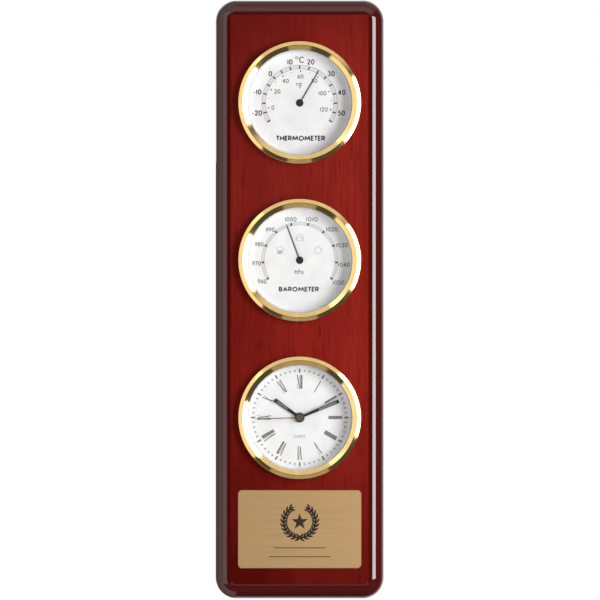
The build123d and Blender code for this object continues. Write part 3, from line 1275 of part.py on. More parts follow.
with BuildPart() as minute_hand:
    extrude(
        baton_face(
            minute_hand_back,
            MINUTE_ANGLE,
            MINUTE_HAND_LENGTH,
            MINUTE_HAND_ROOT_WIDTH,
            MINUTE_HAND_END_WIDTH,
            MINUTE_HAND_HUB_RADIUS,
            CANNON_PIPE_RADIUS + PRESS_GAP,
        ),
        amount=HAND_THICKNESS,
    )
keep(minute_hand, "minute_hand")

# Second hand: a thin strip under a round cap, with a blind hole for the arbor
with BuildPart() as second_hand:
    rod(second_hand_back, second_hand_back - SECOND_CAP_HEIGHT, SECOND_CAP_RADIUS)
    fillet(second_hand.faces().sort_by(Axis.Y)[0].edges(), radius=SECOND_CAP_ROUND)
    with BuildSketch(face_plane(clock, second_hand_back, SECOND_ANGLE)):
        Rectangle(SECOND_HAND_WIDTH, SECOND_HAND_LENGTH, align=(Align.CENTER, Align.MIN))
    extrude(amount=HAND_THICKNESS)
    rod(
        second_hand_back,
        second_arbor_end - PRESS_GAP,
        SECOND_ARBOR_RADIUS + PRESS_GAP,
        mode=Mode.SUBTRACT,
    )
keep(second_hand, "second_hand")
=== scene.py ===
from math import cos, pi, radians, sin

import bmesh
import bpy
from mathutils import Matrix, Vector


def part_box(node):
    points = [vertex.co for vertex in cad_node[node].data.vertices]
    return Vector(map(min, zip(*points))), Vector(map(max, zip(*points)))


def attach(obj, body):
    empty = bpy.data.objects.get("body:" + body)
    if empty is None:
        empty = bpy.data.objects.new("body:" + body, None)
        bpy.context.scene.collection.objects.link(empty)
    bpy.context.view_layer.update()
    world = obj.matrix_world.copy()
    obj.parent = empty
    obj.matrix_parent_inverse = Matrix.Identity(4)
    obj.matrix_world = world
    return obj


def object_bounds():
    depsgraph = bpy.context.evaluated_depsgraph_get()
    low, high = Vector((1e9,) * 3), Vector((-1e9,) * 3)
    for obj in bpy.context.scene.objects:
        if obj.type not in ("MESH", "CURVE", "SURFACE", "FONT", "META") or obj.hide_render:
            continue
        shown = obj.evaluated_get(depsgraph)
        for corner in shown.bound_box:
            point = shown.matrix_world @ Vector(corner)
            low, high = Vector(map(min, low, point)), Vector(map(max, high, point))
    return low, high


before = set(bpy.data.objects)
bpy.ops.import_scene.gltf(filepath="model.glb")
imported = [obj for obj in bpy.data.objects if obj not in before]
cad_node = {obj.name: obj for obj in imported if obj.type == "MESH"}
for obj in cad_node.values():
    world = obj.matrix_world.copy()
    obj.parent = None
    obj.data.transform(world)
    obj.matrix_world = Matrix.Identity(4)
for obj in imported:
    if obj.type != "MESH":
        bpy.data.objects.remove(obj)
cad_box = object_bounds()
scene = bpy.context.scene
scene.view_settings.view_transform = "Standard"

# The studio: a camera straight in front of the hung plaque, a tall softbox at the right, a long
# white card at the left, a low card and a lamp behind. The room is white, but dark around the
# camera and low at both sides, which draws the dark arcs on the polished rims.
MM = 0.001
BOARD_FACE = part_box("board")[0].y
VIEW_DISTANCE = 3.0
VIEW_WIDTH = 362.2 * MM
VIEW_ACROSS = 0.2 * MM
VIEW_HEIGHT = -170.4 * MM
SENSOR_WIDTH = 36.0
camera = bpy.data.objects.new("camera", bpy.data.cameras.new("camera"))
scene.collection.objects.link(camera)
camera.location = (VIEW_ACROSS, BOARD_FACE - VIEW_DISTANCE, VIEW_HEIGHT)
camera.rotation_euler = (pi / 2, 0, 0)
camera.data.sensor_width = SENSOR_WIDTH
camera.data.lens = SENSOR_WIDTH * VIEW_DISTANCE / VIEW_WIDTH
scene.camera = camera


def hang_lamp(name, place, target, width, height, radiance):
    """A rectangular lamp whose face shines with this radiance, unseen by the camera."""
    lamp = bpy.data.lights.new(name, "AREA")
    lamp.shape = "RECTANGLE"
    lamp.size = width
    lamp.size_y = height
    lamp.energy = radiance * pi * width * height
    stand = bpy.data.objects.new(name, lamp)
    stand.location = place
    facing = Vector(target) - Vector(place)
    stand.rotation_euler = facing.to_track_quat("-Z", "Y").to_euler()
    stand.visible_camera = False
    scene.collection.objects.link(stand)


hang_lamp("softbox", place=(0.58, -0.61, -0.1), target=(0.05, 0, -0.1),
          width=0.37, height=0.68, radiance=9.8)
hang_lamp("white_card", place=(-0.53, -0.48, -0.09), target=(0, 0, -0.09),
          width=0.42, height=1.1, radiance=1.07)
hang_lamp("low_card", place=(0, -0.25, -0.37), target=(0, -0.25, 0),
          width=0.14, height=0.3, radiance=0.35)
hang_lamp("back_lamp", place=(-0.5, 1.3, 0.5), target=(0, 0, -0.17),
          width=1.2, height=1.2, radiance=0.8)


def add_node(tree, kind, inputs=None, **settings):
    """One node, its settings, and its inputs given as values or as sockets to link."""
    made = tree.nodes.new(kind)
    for key, value in settings.items():
        setattr(made, key, value)
    for key, value in (inputs or {}).items():
        if isinstance(value, bpy.types.NodeSocket):
            tree.links.new(value, made.inputs[key])
        else:
            made.inputs[key].default_value = value
    return made


def reckon(tree, operation, *values):
    """Output of a Math node."""
    return add_node(tree, "ShaderNodeMath", dict(enumerate(values)), operation=operation).outputs[0]


def ramp(tree, value, start, end, low=0.0, high=1.0):
    """Output of a smooth Map Range from low at start to high at end."""
    inputs = {"Value": value, "From Min": start, "From Max": end, "To Min": low, "To Max": high}
    return add_node(tree, "ShaderNodeMapRange", inputs, interpolation_type="SMOOTHSTEP").outputs[0]


LOW_SIDES = 0.09
CEILING = 0.85
REAR_SHARE = 0.6
AROUND_CAMERA = 0.04
LEFT_WALL_NEAR = 0.86
LEFT_WALL_FAR = 0.18
ROOM_LIGHT = 0.22
scene.world = bpy.data.worlds.new("white_room")
scene.world.use_nodes = True
room = scene.world.node_tree
room.nodes.clear()
direction = add_node(room, "ShaderNodeTexCoord").outputs["Generated"]
split = add_node(room, "ShaderNodeSeparateXYZ", {0: direction}).outputs
across = add_node(room, "ShaderNodeCombineXYZ", {0: split["X"], 2: split["Z"]}).outputs[0]
reach = add_node(room, "ShaderNodeVectorMath", {0: across}, operation="LENGTH").outputs["Value"]
upward = reckon(room, "DIVIDE", split["Z"], reach)
overhead = ramp(room, upward, 0.5, 0.8, LOW_SIDES, CEILING)
sides = reckon(room, "MULTIPLY", overhead, ramp(room, split["Y"], -0.55, -0.3, 1.0, REAR_SHARE))
front = ramp(room, split["Y"], -0.91, -0.86, AROUND_CAMERA, 1.0)
left = reckon(room, "MULTIPLY", ramp(room, split["X"], -0.02, -0.15), ramp(room, split["Y"], -0.5, -0.3))
left_tone = ramp(room, split["Y"], -0.3, 0.9, LEFT_WALL_NEAR, LEFT_WALL_FAR)
left_wall = reckon(room, "MULTIPLY", left, left_tone)
not_left = reckon(room, "SUBTRACT", 1.0, left)
rear_wall = reckon(room, "MULTIPLY", ramp(room, split["Y"], 0.35, 0.65), not_left)
walls = reckon(room, "MAXIMUM", left_wall, rear_wall)
mirrored = reckon(room, "MAXIMUM", reckon(room, "MULTIPLY", sides, front), walls)
light_path = add_node(room, "ShaderNodeLightPath").outputs
plain = reckon(room, "MAXIMUM", light_path["Is Camera Ray"], light_path["Is Transmission Ray"])
not_plain = reckon(room, "SUBTRACT", 1.0, plain)
shiny = reckon(room, "MULTIPLY", light_path["Is Glossy Ray"], not_plain)
soft = reckon(room, "SUBTRACT", not_plain, shiny)
white_and_soft = reckon(room, "MULTIPLY_ADD", soft, ROOM_LIGHT, plain)
level = reckon(room, "MULTIPLY_ADD", shiny, mirrored, white_and_soft)
backdrop = add_node(room, "ShaderNodeBackground", {"Color": (1, 1, 1, 1), "Strength": level})
add_node(room, "ShaderNodeOutputWorld", {"Surface": backdrop.outputs[0]})

# The floor: a pale paper sweep below the hung plaque. It fades out into the white room, keeps the
# plaque's shadow, and glows a little for the camera so that it stays as white as the room.
FLOOR_RADIUS = 0.72
FLOOR_DROP = 0.1
FADE_RADIUS = 0.28
FLOOR_GLOW = 0.28
floor_mesh = bpy.data.meshes.new("floor")
shape = bmesh.new()
bmesh.ops.create_circle(shape, cap_ends=True, segments=96, radius=FLOOR_RADIUS)
bmesh.ops.translate(shape, verts=shape.verts, vec=(0, 0, cad_box[0].z - FLOOR_DROP))
shape.to_mesh(floor_mesh)
shape.free()
floor = bpy.data.objects.new("floor", floor_mesh)
scene.collection.objects.link(floor)
floor.visible_glossy = False


def finish(name, sockets):
    """A new material's node tree and its Principled shader with plain values on its sockets."""
    material = bpy.data.materials.new(name)
    material.use_nodes = True
    shader = material.node_tree.nodes["Principled BSDF"]
    for key, value in sockets.items():
        shader.inputs[key].default_value = value
    return material, material.node_tree, shader


def place_of(tree, scale=(1, 1, 1)):
    """Object coordinates, stretched for a pattern."""
    place = add_node(tree, "ShaderNodeTexCoord").outputs["Object"]
    return add_node(tree, "ShaderNodeMapping", {"Vector": place, "Scale": scale}).outputs[0]


pale_sweep, tree, shader = finish("pale_sweep", {
    "Roughness": 0.9, "Base Color": (0.86, 0.86, 0.86, 1), "Emission Color": (1, 1, 1, 1)})
seen = add_node(tree, "ShaderNodeLightPath").outputs["Is Camera Ray"]
tree.links.new(reckon(tree, "MULTIPLY", seen, FLOOR_GLOW), shader.inputs["Emission Strength"])
span = add_node(tree, "ShaderNodeVectorMath", {0: place_of(tree, (1, 1, 0))}, operation="LENGTH")
fade = ramp(tree, span.outputs["Value"], FADE_RADIUS, FLOOR_RADIUS, 1.0, 0.0)
tree.links.new(fade, shader.inputs["Alpha"])
floor_mesh.materials.append(pale_sweep)

# The board: a wooden blank with a rosewood veneer on its face, its rounded edge stained dark, all
# under a thick clear piano lacquer. The back is painted dark and left satin, and the bores and the
# hanger's pocket are cut into raw wood.
INSERTS = ("thermometer", "barometer", "clock")
VENEER_DARK = (0.12, 0.0065, 0.0045, 1)
VENEER_MID = (0.235, 0.0145, 0.0095, 1)
VENEER_LIGHT = (0.32, 0.022, 0.0145, 1)
# The deep veneer colour below fills random dark clouds, and it also paints shade towards the board's
# top, bottom and left side.
VENEER_DEEP_AND_SHADED = (0.075, 0.0032, 0.0022, 1)
PORE_BROWN = (0.065, 0.003, 0.002, 1)
EDGE_STAIN = (0.064, 0.0042, 0.0032, 1)
BACK_PAINT = (0.028, 0.02, 0.017, 1)
RAW_DARK = (0.2, 0.105, 0.05, 1)
RAW_LIGHT = (0.34, 0.2, 0.11, 1)
FACE_HALF_WIDTH = 41.8 * MM
FACE_TOP = 2.0 * MM
FACE_BOTTOM = -342.0 * MM
STAIN_FADE = 0.5 * MM
PAINT_STARTS = -1.1 * MM
PAINT_WHOLE = -0.6 * MM
BORE_RADIUS = 34.5 * MM
POCKET_RADIUS = 9.5 * MM
POCKET_HEIGHT = -3.0 * MM
POCKET_MIDDLE = -5.6 * MM
POCKET_HALF_DEPTH = 4.3 * MM
GRAIN_SWAY = 4.0 * MM
BAND_SCALE = 75.0
STREAK_SCALE = 620.0
STREAK_STRENGTH = 0.42
PORE_SCALE = 1500.0
PORE_STRENGTH = 0.55
RAW_SCALE = 700.0

mottle = bpy.data.node_groups.new("mottle", "ShaderNodeTree")
mottle.interface.new_socket("Vector", in_out="INPUT", socket_type="NodeSocketVector")
for label, value in (("Scale", 100.0), ("Low", 0.0), ("High", 1.0)):
    socket = mottle.interface.new_socket(label, in_out="INPUT", socket_type="NodeSocketFloat")
    socket.default_value = value
mottle.interface.new_socket("Value", in_out="OUTPUT", socket_type="NodeSocketFloat")
given = add_node(mottle, "NodeGroupInput").outputs
clouds = add_node(mottle, "ShaderNodeTexNoise", {
    "Vector": given["Vector"], "Scale": given["Scale"], "Detail": 4.0, "Roughness": 0.6})
spread = add_node(mottle, "ShaderNodeMapRange", {
    "Value": clouds.outputs[0], "From Min": 0.3, "From Max": 0.7,
    "To Min": given["Low"], "To Max": given["High"]})
add_node(mottle, "NodeGroupOutput", {"Value": spread.outputs[0]})


def mottled(tree, vector, scale, low=0.0, high=1.0):
    """Soft random values between low and high, from the shared mottle group."""
    inputs = {"Vector": vector, "Scale": scale, "Low": low, "High": high}
    return add_node(tree, "ShaderNodeGroup", inputs, node_tree=mottle).outputs["Value"]


def blend(tree, factor, first, second):
    """Colour mixed from first to second by factor."""
    inputs = {0: factor, 6: first, 7: second}
    return add_node(tree, "ShaderNodeMix", inputs, data_type="RGBA").outputs[2]


def within(tree, flat, height, radius):
    """One inside a round hole on the board's middle line at this height, and zero outside it."""
    inputs = {0: flat, 1: (0, 0, height)}
    distance = add_node(tree, "ShaderNodeVectorMath", inputs, operation="DISTANCE").outputs["Value"]
    return reckon(tree, "LESS_THAN", distance, radius)


def dress(material, *names):
    """Give CAD nodes a finish."""
    for name in names:
        for slot in cad_node[name].material_slots:
            slot.material = material


rosewood, tree, shader = finish("rosewood_lacquer", {
    "Specular IOR Level": 0.0, "Coat Roughness": 0.03, "Coat IOR": 1.6})
sway = mottled(tree, place_of(tree, (1, 1, 0.12)), 28.0, -GRAIN_SWAY, GRAIN_SWAY)
wander = add_node(tree, "ShaderNodeCombineXYZ", {0: sway}).outputs[0]
swayed = add_node(tree, "ShaderNodeVectorMath", {0: place_of(tree), 1: wander}, operation="ADD")
figure = swayed.outputs[0]
along = add_node(tree, "ShaderNodeMapping", {"Vector": figure, "Scale": (1, 1, 0.035)}).outputs[0]
bands = mottled(tree, along, BAND_SCALE)
streaks = mottled(tree, along, STREAK_SCALE)
pore_path = add_node(tree, "ShaderNodeMapping", {"Vector": figure, "Scale": (1, 1, 0.05)}).outputs[0]
pores = ramp(tree, mottled(tree, pore_path, PORE_SCALE), 0.66, 0.95, 0.0, PORE_STRENGTH)
veneer = blend(tree, bands, VENEER_MID, VENEER_LIGHT)
veneer = blend(tree, reckon(tree, "MULTIPLY", streaks, STREAK_STRENGTH), veneer, VENEER_DARK)
veneer = blend(tree, pores, veneer, PORE_BROWN)
at = add_node(tree, "ShaderNodeSeparateXYZ", {0: place_of(tree)}).outputs
# The veneer darkens at random in large clouds. It is also painted darker towards the top, the bottom and
# the left: painted shade where the softbox's light falls off across the board.
deep_tone_and_painted_shade = mottled(tree, place_of(tree, (1, 1, 0.6)), 32.0, -0.02, 0.22)
for axis, start, end, strength in (
        ("Z", -40 * MM, FACE_TOP, 0.28),
        ("Z", -215 * MM, FACE_BOTTOM, 0.58),
        ("X", 15 * MM, -FACE_HALF_WIDTH, 0.32)):
    deep_tone_and_painted_shade = reckon(tree, "ADD", deep_tone_and_painted_shade, ramp(tree, at[axis], start, end, 0.0, strength))
veneer = blend(tree, deep_tone_and_painted_shade, veneer, VENEER_DEEP_AND_SHADED)
edge = 0.0
for across, start, end in (
        (reckon(tree, "ABSOLUTE", at["X"]), FACE_HALF_WIDTH - STAIN_FADE, FACE_HALF_WIDTH),
        (at["Z"], FACE_TOP - STAIN_FADE, FACE_TOP),
        (at["Z"], FACE_BOTTOM + STAIN_FADE, FACE_BOTTOM)):
    edge = reckon(tree, "MAXIMUM", edge, ramp(tree, across, start, end))
back = ramp(tree, at["Y"], PAINT_STARTS, PAINT_WHOLE)
colour = blend(tree, back, blend(tree, edge, veneer, EDGE_STAIN), BACK_PAINT)
flat = place_of(tree, (1, 0, 1))
pocket_depth = reckon(tree, "COMPARE", at["Y"], POCKET_MIDDLE, POCKET_HALF_DEPTH)
cut = reckon(tree, "MULTIPLY", within(tree, flat, POCKET_HEIGHT, POCKET_RADIUS), pocket_depth)
for insert in INSERTS:
    low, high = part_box(f"{insert}_case")
    cut = reckon(tree, "MAXIMUM", cut, within(tree, flat, (low.z + high.z) / 2, BORE_RADIUS))
raw = blend(tree, mottled(tree, place_of(tree, (1, 1, 0.1)), RAW_SCALE), RAW_DARK, RAW_LIGHT)
tree.links.new(blend(tree, cut, colour, raw), shader.inputs["Base Color"])
bare = reckon(tree, "MAXIMUM", back, cut)
tree.links.new(reckon(tree, "SUBTRACT", 1.0, bare), shader.inputs["Coat Weight"])
tree.links.new(mottled(tree, place_of(tree), 240.0, 0.38, 0.5), shader.inputs["Roughness"])
dress(rosewood, "board")

# The hanger: a keyhole plate of zinc-plated sheet steel, let into the board's back and held by two
# countersunk wood screws with a yellow zinc coat.
ZINC_GREY = (0.5, 0.5, 0.49, 1)
ZINC_YELLOW = (0.55, 0.4, 0.17, 1)
GLOSS_SCALE = 0.6
DENT_DEPTH = 0.02 * MM


def tinted(colour, factor):
    """A colour made darker or lighter by a factor."""
    return tuple(min(1.0, factor * part) for part in colour[:3]) + (1,)


def dented(tree, shader, strength, depth, height):
    """Give a shader a bump of this strength and depth."""
    inputs = {"Strength": strength, "Distance": depth, "Height": height}
    bump = add_node(tree, "ShaderNodeBump", inputs)
    tree.links.new(bump.outputs[0], shader.inputs["Normal"])


def metal(name, colour, low, high, scale, stretch=(1, 1, 1), dent=0.0, shade=0.86):
    """Metal whose gloss varies between two roughnesses, with fine lines where stretch draws them."""
    material, tree, shader = finish(name, {"Metallic": 1.0})
    path = place_of(tree, stretch)
    tone = mottled(tree, path, scale)
    tree.links.new(blend(tree, tone, tinted(colour, shade), colour), shader.inputs["Base Color"])
    tree.links.new(mottled(tree, path, GLOSS_SCALE * scale, low, high), shader.inputs["Roughness"])
    if dent:
        dented(tree, shader, dent, DENT_DEPTH, tone)
    return material


zinc = metal("zinc_plated_steel", ZINC_GREY, 0.25, 0.5, 300.0, dent=0.3, shade=0.7)
yellow_zinc = metal("yellow_zinc", ZINC_YELLOW, 0.25, 0.4, 300.0)
dress(zinc, "keyhole_hanger")
dress(yellow_zinc, "hanger_screws")

# The engraving plate: thin satin brass with fine brushing along it, stuck on below the clock. It
# carries a plain laurel wreath with a star, and two ruled lines, engraved and filled with brown.
SATIN_BRASS = (0.74, 0.483, 0.234, 1)
ENGRAVED_BROWN = (0.02, 0.014, 0.01, 1)
ENGRAVED_STAND = 0.02 * MM
INK_SCALE = 1800.0
INK_LIGHTER = 1.25
WREATH_RISE = 4.5 * MM
WREATH_RADIUS = 9.6 * MM
WREATH_LEAVES = 11
FIRST_LEAF = 172
LEAF_STEP = 14.2
LEAF_LENGTH = 1.75 * MM
LEAF_WIDTH = 0.62 * MM
LEAF_ROWS = ((1.3 * MM, 58), (0.0, 90), (-1.3 * MM, 122))
STAR_POINTS = 5
STAR_RADIUS = 5.2 * MM
STAR_WAIST = 0.4
RULE_WIDTH = 0.45 * MM
RULES = ((15.5 * MM, 11.2 * MM), (18.5 * MM, 16.6 * MM))
satin_brass = metal("satin_brass", SATIN_BRASS, 0.47, 0.54, 2600.0, (0.02, 1, 1), 0.1, 0.95)
dress(satin_brass, "engraving_plate")


def ink(name, colour):
    """Flat printing or engraving fill with a slightly uneven tone."""
    material, tree, shader = finish(name, {"Roughness": 0.55, "Specular IOR Level": 0.3})
    tone = mottled(tree, place_of(tree), INK_SCALE)
    tree.links.new(blend(tree, tone, colour, tinted(colour, INK_LIGHTER)), shader.inputs["Base Color"])
    return material


def socketed(tree, sockets):
    """Make a Geometry Nodes tree's inputs and its output, and return the inputs' sockets."""
    for label, kind in sockets:
        tree.interface.new_socket(label, in_out="INPUT", socket_type="NodeSocket" + kind)
    tree.interface.new_socket("Geometry", in_out="OUTPUT", socket_type="NodeSocketGeometry")
    return add_node(tree, "NodeGroupInput").outputs


def grown(name, tree, values):
    """Plain mesh object from a Geometry Nodes tree with these values on its named inputs."""
    piece = bpy.data.objects.new(name, bpy.data.meshes.new(name))
    scene.collection.objects.link(piece)
    grow = piece.modifiers.new("grow", "NODES")
    grow.node_group = tree
    for item in tree.interface.items_tree:
        if item.item_type == "SOCKET" and item.in_out == "INPUT" and item.name in values:
            grow[item.identifier] = values[item.name]
    made = piece.evaluated_get(bpy.context.evaluated_depsgraph_get())
    mesh = bpy.data.meshes.new_from_object(made)
    piece.modifiers.remove(grow)
    piece.data = mesh
    mesh.name = name
    return piece


def point_on_arc(tree, angle, radius):
    """Place at this angle clockwise from the top, seen from the front."""
    east = reckon(tree, "MULTIPLY", reckon(tree, "SINE", angle), radius)
    north = reckon(tree, "MULTIPLY", reckon(tree, "COSINE", angle), radius)
    return add_node(tree, "ShaderNodeCombineXYZ", {0: east, 2: north}).outputs[0]


def turned_copies(tree, count, place, turn, shape):
    """Shape set on points and turned about the depth axis."""
    points = add_node(tree, "GeometryNodePoints", {"Count": count, "Position": place})
    euler = add_node(tree, "ShaderNodeCombineXYZ", {1: turn}).outputs[0]
    rotation = add_node(tree, "FunctionNodeEulerToRotation", {0: euler}).outputs[0]
    copies = add_node(tree, "GeometryNodeInstanceOnPoints", {
        "Points": points.outputs[0], "Instance": shape, "Rotation": rotation})
    return copies.outputs[0]


def settled(tree, geometry, centre, material):
    """End of a tree: moved to its place, instances made real, and the material set."""
    moved = add_node(tree, "GeometryNodeTransform", {"Geometry": geometry, "Translation": centre})
    real = add_node(tree, "GeometryNodeRealizeInstances", {"Geometry": moved.outputs[0]})
    inputs = {"Geometry": real.outputs[0], "Material": material}
    painted = add_node(tree, "GeometryNodeSetMaterial", inputs)
    add_node(tree, "NodeGroupOutput", {"Geometry": painted.outputs[0]})


laurel = bpy.data.node_groups.new("laurel", "GeometryNodeTree")
given = socketed(laurel, (
    ("Leaves", "Int"), ("Radius", "Float"), ("First Angle", "Float"), ("Step", "Float"),
    ("Leaf Length", "Float"), ("Leaf Width", "Float"), ("Lean", "Float"), ("Centre", "Vector"),
    ("Ink", "Material")))
index = add_node(laurel, "GeometryNodeInputIndex").outputs[0]
angle = reckon(laurel, "MULTIPLY_ADD", index, given["Step"], given["First Angle"])
disc = add_node(laurel, "GeometryNodeMeshCircle", {"Vertices": 16, "Radius": 1.0}, fill_type="NGON")
leaf_at = add_node(laurel, "ShaderNodeSeparateXYZ", {
    0: add_node(laurel, "GeometryNodeInputPosition").outputs[0]}).outputs
narrow = reckon(laurel, "MULTIPLY", leaf_at["X"], reckon(laurel, "ABSOLUTE", leaf_at["X"]))
leaf_place = add_node(laurel, "ShaderNodeCombineXYZ", {
    0: reckon(laurel, "MULTIPLY", narrow, given["Leaf Width"]),
    2: reckon(laurel, "MULTIPLY", leaf_at["Y"], given["Leaf Length"])}).outputs[0]
leaf = add_node(laurel, "GeometryNodeSetPosition", {
    "Geometry": disc.outputs[0], "Position": leaf_place}).outputs[0]
branch = turned_copies(laurel, given["Leaves"], point_on_arc(laurel, angle, given["Radius"]),
                       reckon(laurel, "ADD", angle, given["Lean"]), leaf)
settled(laurel, branch, given["Centre"], given["Ink"])

engraved = ink("engraved_fill", ENGRAVED_BROWN)
plate_low, plate_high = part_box("engraving_plate")
plate_middle = (plate_low + plate_high) / 2
wreath_centre = plate_middle + Vector((0, 0, WREATH_RISE))
wreath_centre.y = plate_low.y - ENGRAVED_STAND
wreath_parts = []
for side, side_name in ((-1, "left"), (1, "right")):
    for row, (lift, lean) in enumerate(LEAF_ROWS):
        wreath_parts.append(grown(f"wreath_{side_name}_{row}", laurel, {
            "Leaves": WREATH_LEAVES, "Radius": WREATH_RADIUS + lift,
            "First Angle": radians(side * FIRST_LEAF), "Step": radians(-side * LEAF_STEP),
            "Leaf Length": LEAF_LENGTH, "Leaf Width": LEAF_WIDTH, "Lean": radians(-side * lean),
            "Centre": wreath_centre, "Ink": engraved}))


def flat_mesh(name, outlines, front, material, facing=-1):
    """Flat pieces facing the front or the back, each from points across and up, as one mesh."""
    shape = bmesh.new()
    for outline in outlines:
        shape.faces.new([shape.verts.new((x, front, z)) for x, z in outline])
    for face in shape.faces:
        face.normal_update()
        if face.normal.y * facing < 0:
            face.normal_flip()
    mesh = bpy.data.meshes.new(name)
    shape.to_mesh(mesh)
    shape.free()
    mesh.materials.append(material)
    piece = bpy.data.objects.new(name, mesh)
    scene.collection.objects.link(piece)
    return piece


def ruled_line(start, end, width):
    """Outline of a straight stroke between two points."""
    first, last = Vector(start), Vector(end)
    run = last - first
    side = Vector((-run.y, run.x)).normalized() * (width / 2)
    return [tuple(corner) for corner in (first - side, last - side, last + side, first + side)]


def joined(name, pieces):
    """Several mesh objects made into one."""
    shape = bmesh.new()
    materials = []
    for piece in pieces:
        for material in piece.data.materials:
            if material not in materials:
                materials.append(material)
    for piece in pieces:
        first = len(shape.faces)
        shape.from_mesh(piece.data)
        shape.faces.ensure_lookup_table()
        for face in shape.faces[first:]:
            face.material_index = materials.index(piece.data.materials[face.material_index])
        bpy.data.objects.remove(piece)
    mesh = bpy.data.meshes.new(name)
    shape.to_mesh(mesh)
    shape.free()
    for material in materials:
        mesh.materials.append(material)
    result = bpy.data.objects.new(name, mesh)
    scene.collection.objects.link(result)
    return result


star = [(wreath_centre.x + size * sin(step * pi / STAR_POINTS),
         wreath_centre.z + size * cos(step * pi / STAR_POINTS))
        for step, size in enumerate([STAR_RADIUS, STAR_WAIST * STAR_RADIUS] * STAR_POINTS)]
rules = [ruled_line((-half, plate_middle.z - drop), (half, plate_middle.z - drop), RULE_WIDTH)
         for half, drop in RULES]
plain_marks = flat_mesh("star_and_rules", [star] + rules, wreath_centre.y, engraved)
engraving = joined("plate_engraving", wreath_parts + [plain_marks])
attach(engraving, "plaque")

# The three cases: black moulded cups pushed into the board's bores from the front, each with a
# rubber ring that grips the bore.
CASE_BLACK = (0.022, 0.022, 0.024, 1)
RUBBER_BLACK = (0.03, 0.03, 0.03, 1)
TONE_SCALE = 120.0
TONE_LIGHTER = 1.12
SHEEN_SCALE = 380.0
GRAIN_SCALE = 2600.0
GRAIN_DEPTH = 0.03 * MM


def plastic(name, colour, low, high, grain, shine=0.45):
    """Moulded plastic with an uneven gloss and a fine grain of the given strength."""
    material, tree, shader = finish(name, {"Specular IOR Level": shine})
    tone = mottled(tree, place_of(tree), TONE_SCALE)
    tree.links.new(blend(tree, tone, colour, tinted(colour, TONE_LIGHTER)), shader.inputs["Base Color"])
    tree.links.new(mottled(tree, place_of(tree), SHEEN_SCALE, low, high), shader.inputs["Roughness"])
    dented(tree, shader, grain, GRAIN_DEPTH, mottled(tree, place_of(tree), GRAIN_SCALE))
    return material


black_plastic = plastic("black_plastic", CASE_BLACK, 0.42, 0.58, 0.35)
rubber = plastic("black_rubber", RUBBER_BLACK, 0.65, 0.8, 0.5)
dress(black_plastic, *(f"{insert}_case" for insert in INSERTS))
dress(rubber, *(f"{insert}_gasket" for insert in INSERTS))

# The works behind the dials: a bimetal coil, an aneroid barometer with its sector and spring, and
# a quartz movement with its wheels, coil, circuit and battery, on brass plates and screws.
brass = metal("turned_brass", (0.8, 0.58, 0.26, 1), 0.22, 0.36, 420.0, dent=0.1)
steel = metal("bright_steel", (0.6, 0.6, 0.6, 1), 0.2, 0.34, 500.0, dent=0.1)
copper = metal("wound_copper", (0.78, 0.33, 0.16, 1), 0.3, 0.42, 1500.0, (1, 1, 0.1), 0.4)
white_plastic = plastic("white_plastic", (0.84, 0.84, 0.84, 1), 0.4, 0.52, 0.12)
circuit_green = plastic("circuit_green", (0.02, 0.12, 0.05, 1), 0.35, 0.5, 0.2)
for material, works in (
        (brass, ("thermometer_plate", "thermometer_bush", "barometer_plate", "barometer_bridge",
                 "barometer_base", "toothed_sector", "aneroid_capsule", "adjusting_screw")),
        (steel, ("movement_screws", "thermometer_staff", "bimetal_coil", "pinion_arbor", "hairspring",
                 "rocking_shaft", "stator", "quartz_crystal", "battery", "battery_contacts",
                 "rotor")),
        (white_plastic, ("hour_wheel", "cannon_pinion", "centre_wheel", "second_wheel", "third_wheel",
                         "minute_wheel", "step_wheel", "movement_front_plate",
                         "movement_back_plate")),
        (black_plastic, ("battery_door", "setting_knob", "coil_bobbin")),
        (copper, ("coil_winding",)),
        (circuit_green, ("circuit_board",))):
    dress(material, *works)

# The dials: white coated metal discs, printed in greys with each instrument's scale. The printing
# is a skin of ink on the disc, with the grey bands a little under the marks that cross them.
DIAL_WHITE = (0.9, 0.895, 0.905, 1)
PRINT_STAND = 0.02 * MM
BAND_LIFT = -0.01
EDGE_LIFT = -0.005
BAND_PIECE = 2.5
dial_white = plastic("dial_white", DIAL_WHITE, 0.5, 0.6, 0.05)
dress(dial_white, *(f"{insert}_dial" for insert in INSERTS))
dark_ink = ink("dark_ink", (0.03, 0.03, 0.034, 1))
grey_ink = ink("grey_ink", (0.08, 0.08, 0.085, 1))
numeral_ink = ink("numeral_ink", (0.13, 0.13, 0.135, 1))
line_ink = ink("line_ink", (0.33, 0.33, 0.34, 1))
mark_ink = ink("mark_ink", (0.36, 0.36, 0.37, 1))
edge_ink = ink("edge_ink", (0.4, 0.4, 0.41, 1))
band_ink = ink("band_ink", (0.7, 0.7, 0.71, 1))
print_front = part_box("clock_dial")[0].y - PRINT_STAND
centre_of = {}
for insert in INSERTS:
    low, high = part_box(f"{insert}_dial")
    centre_of[insert] = Vector(((low.x + high.x) / 2, print_front, (low.z + high.z) / 2))

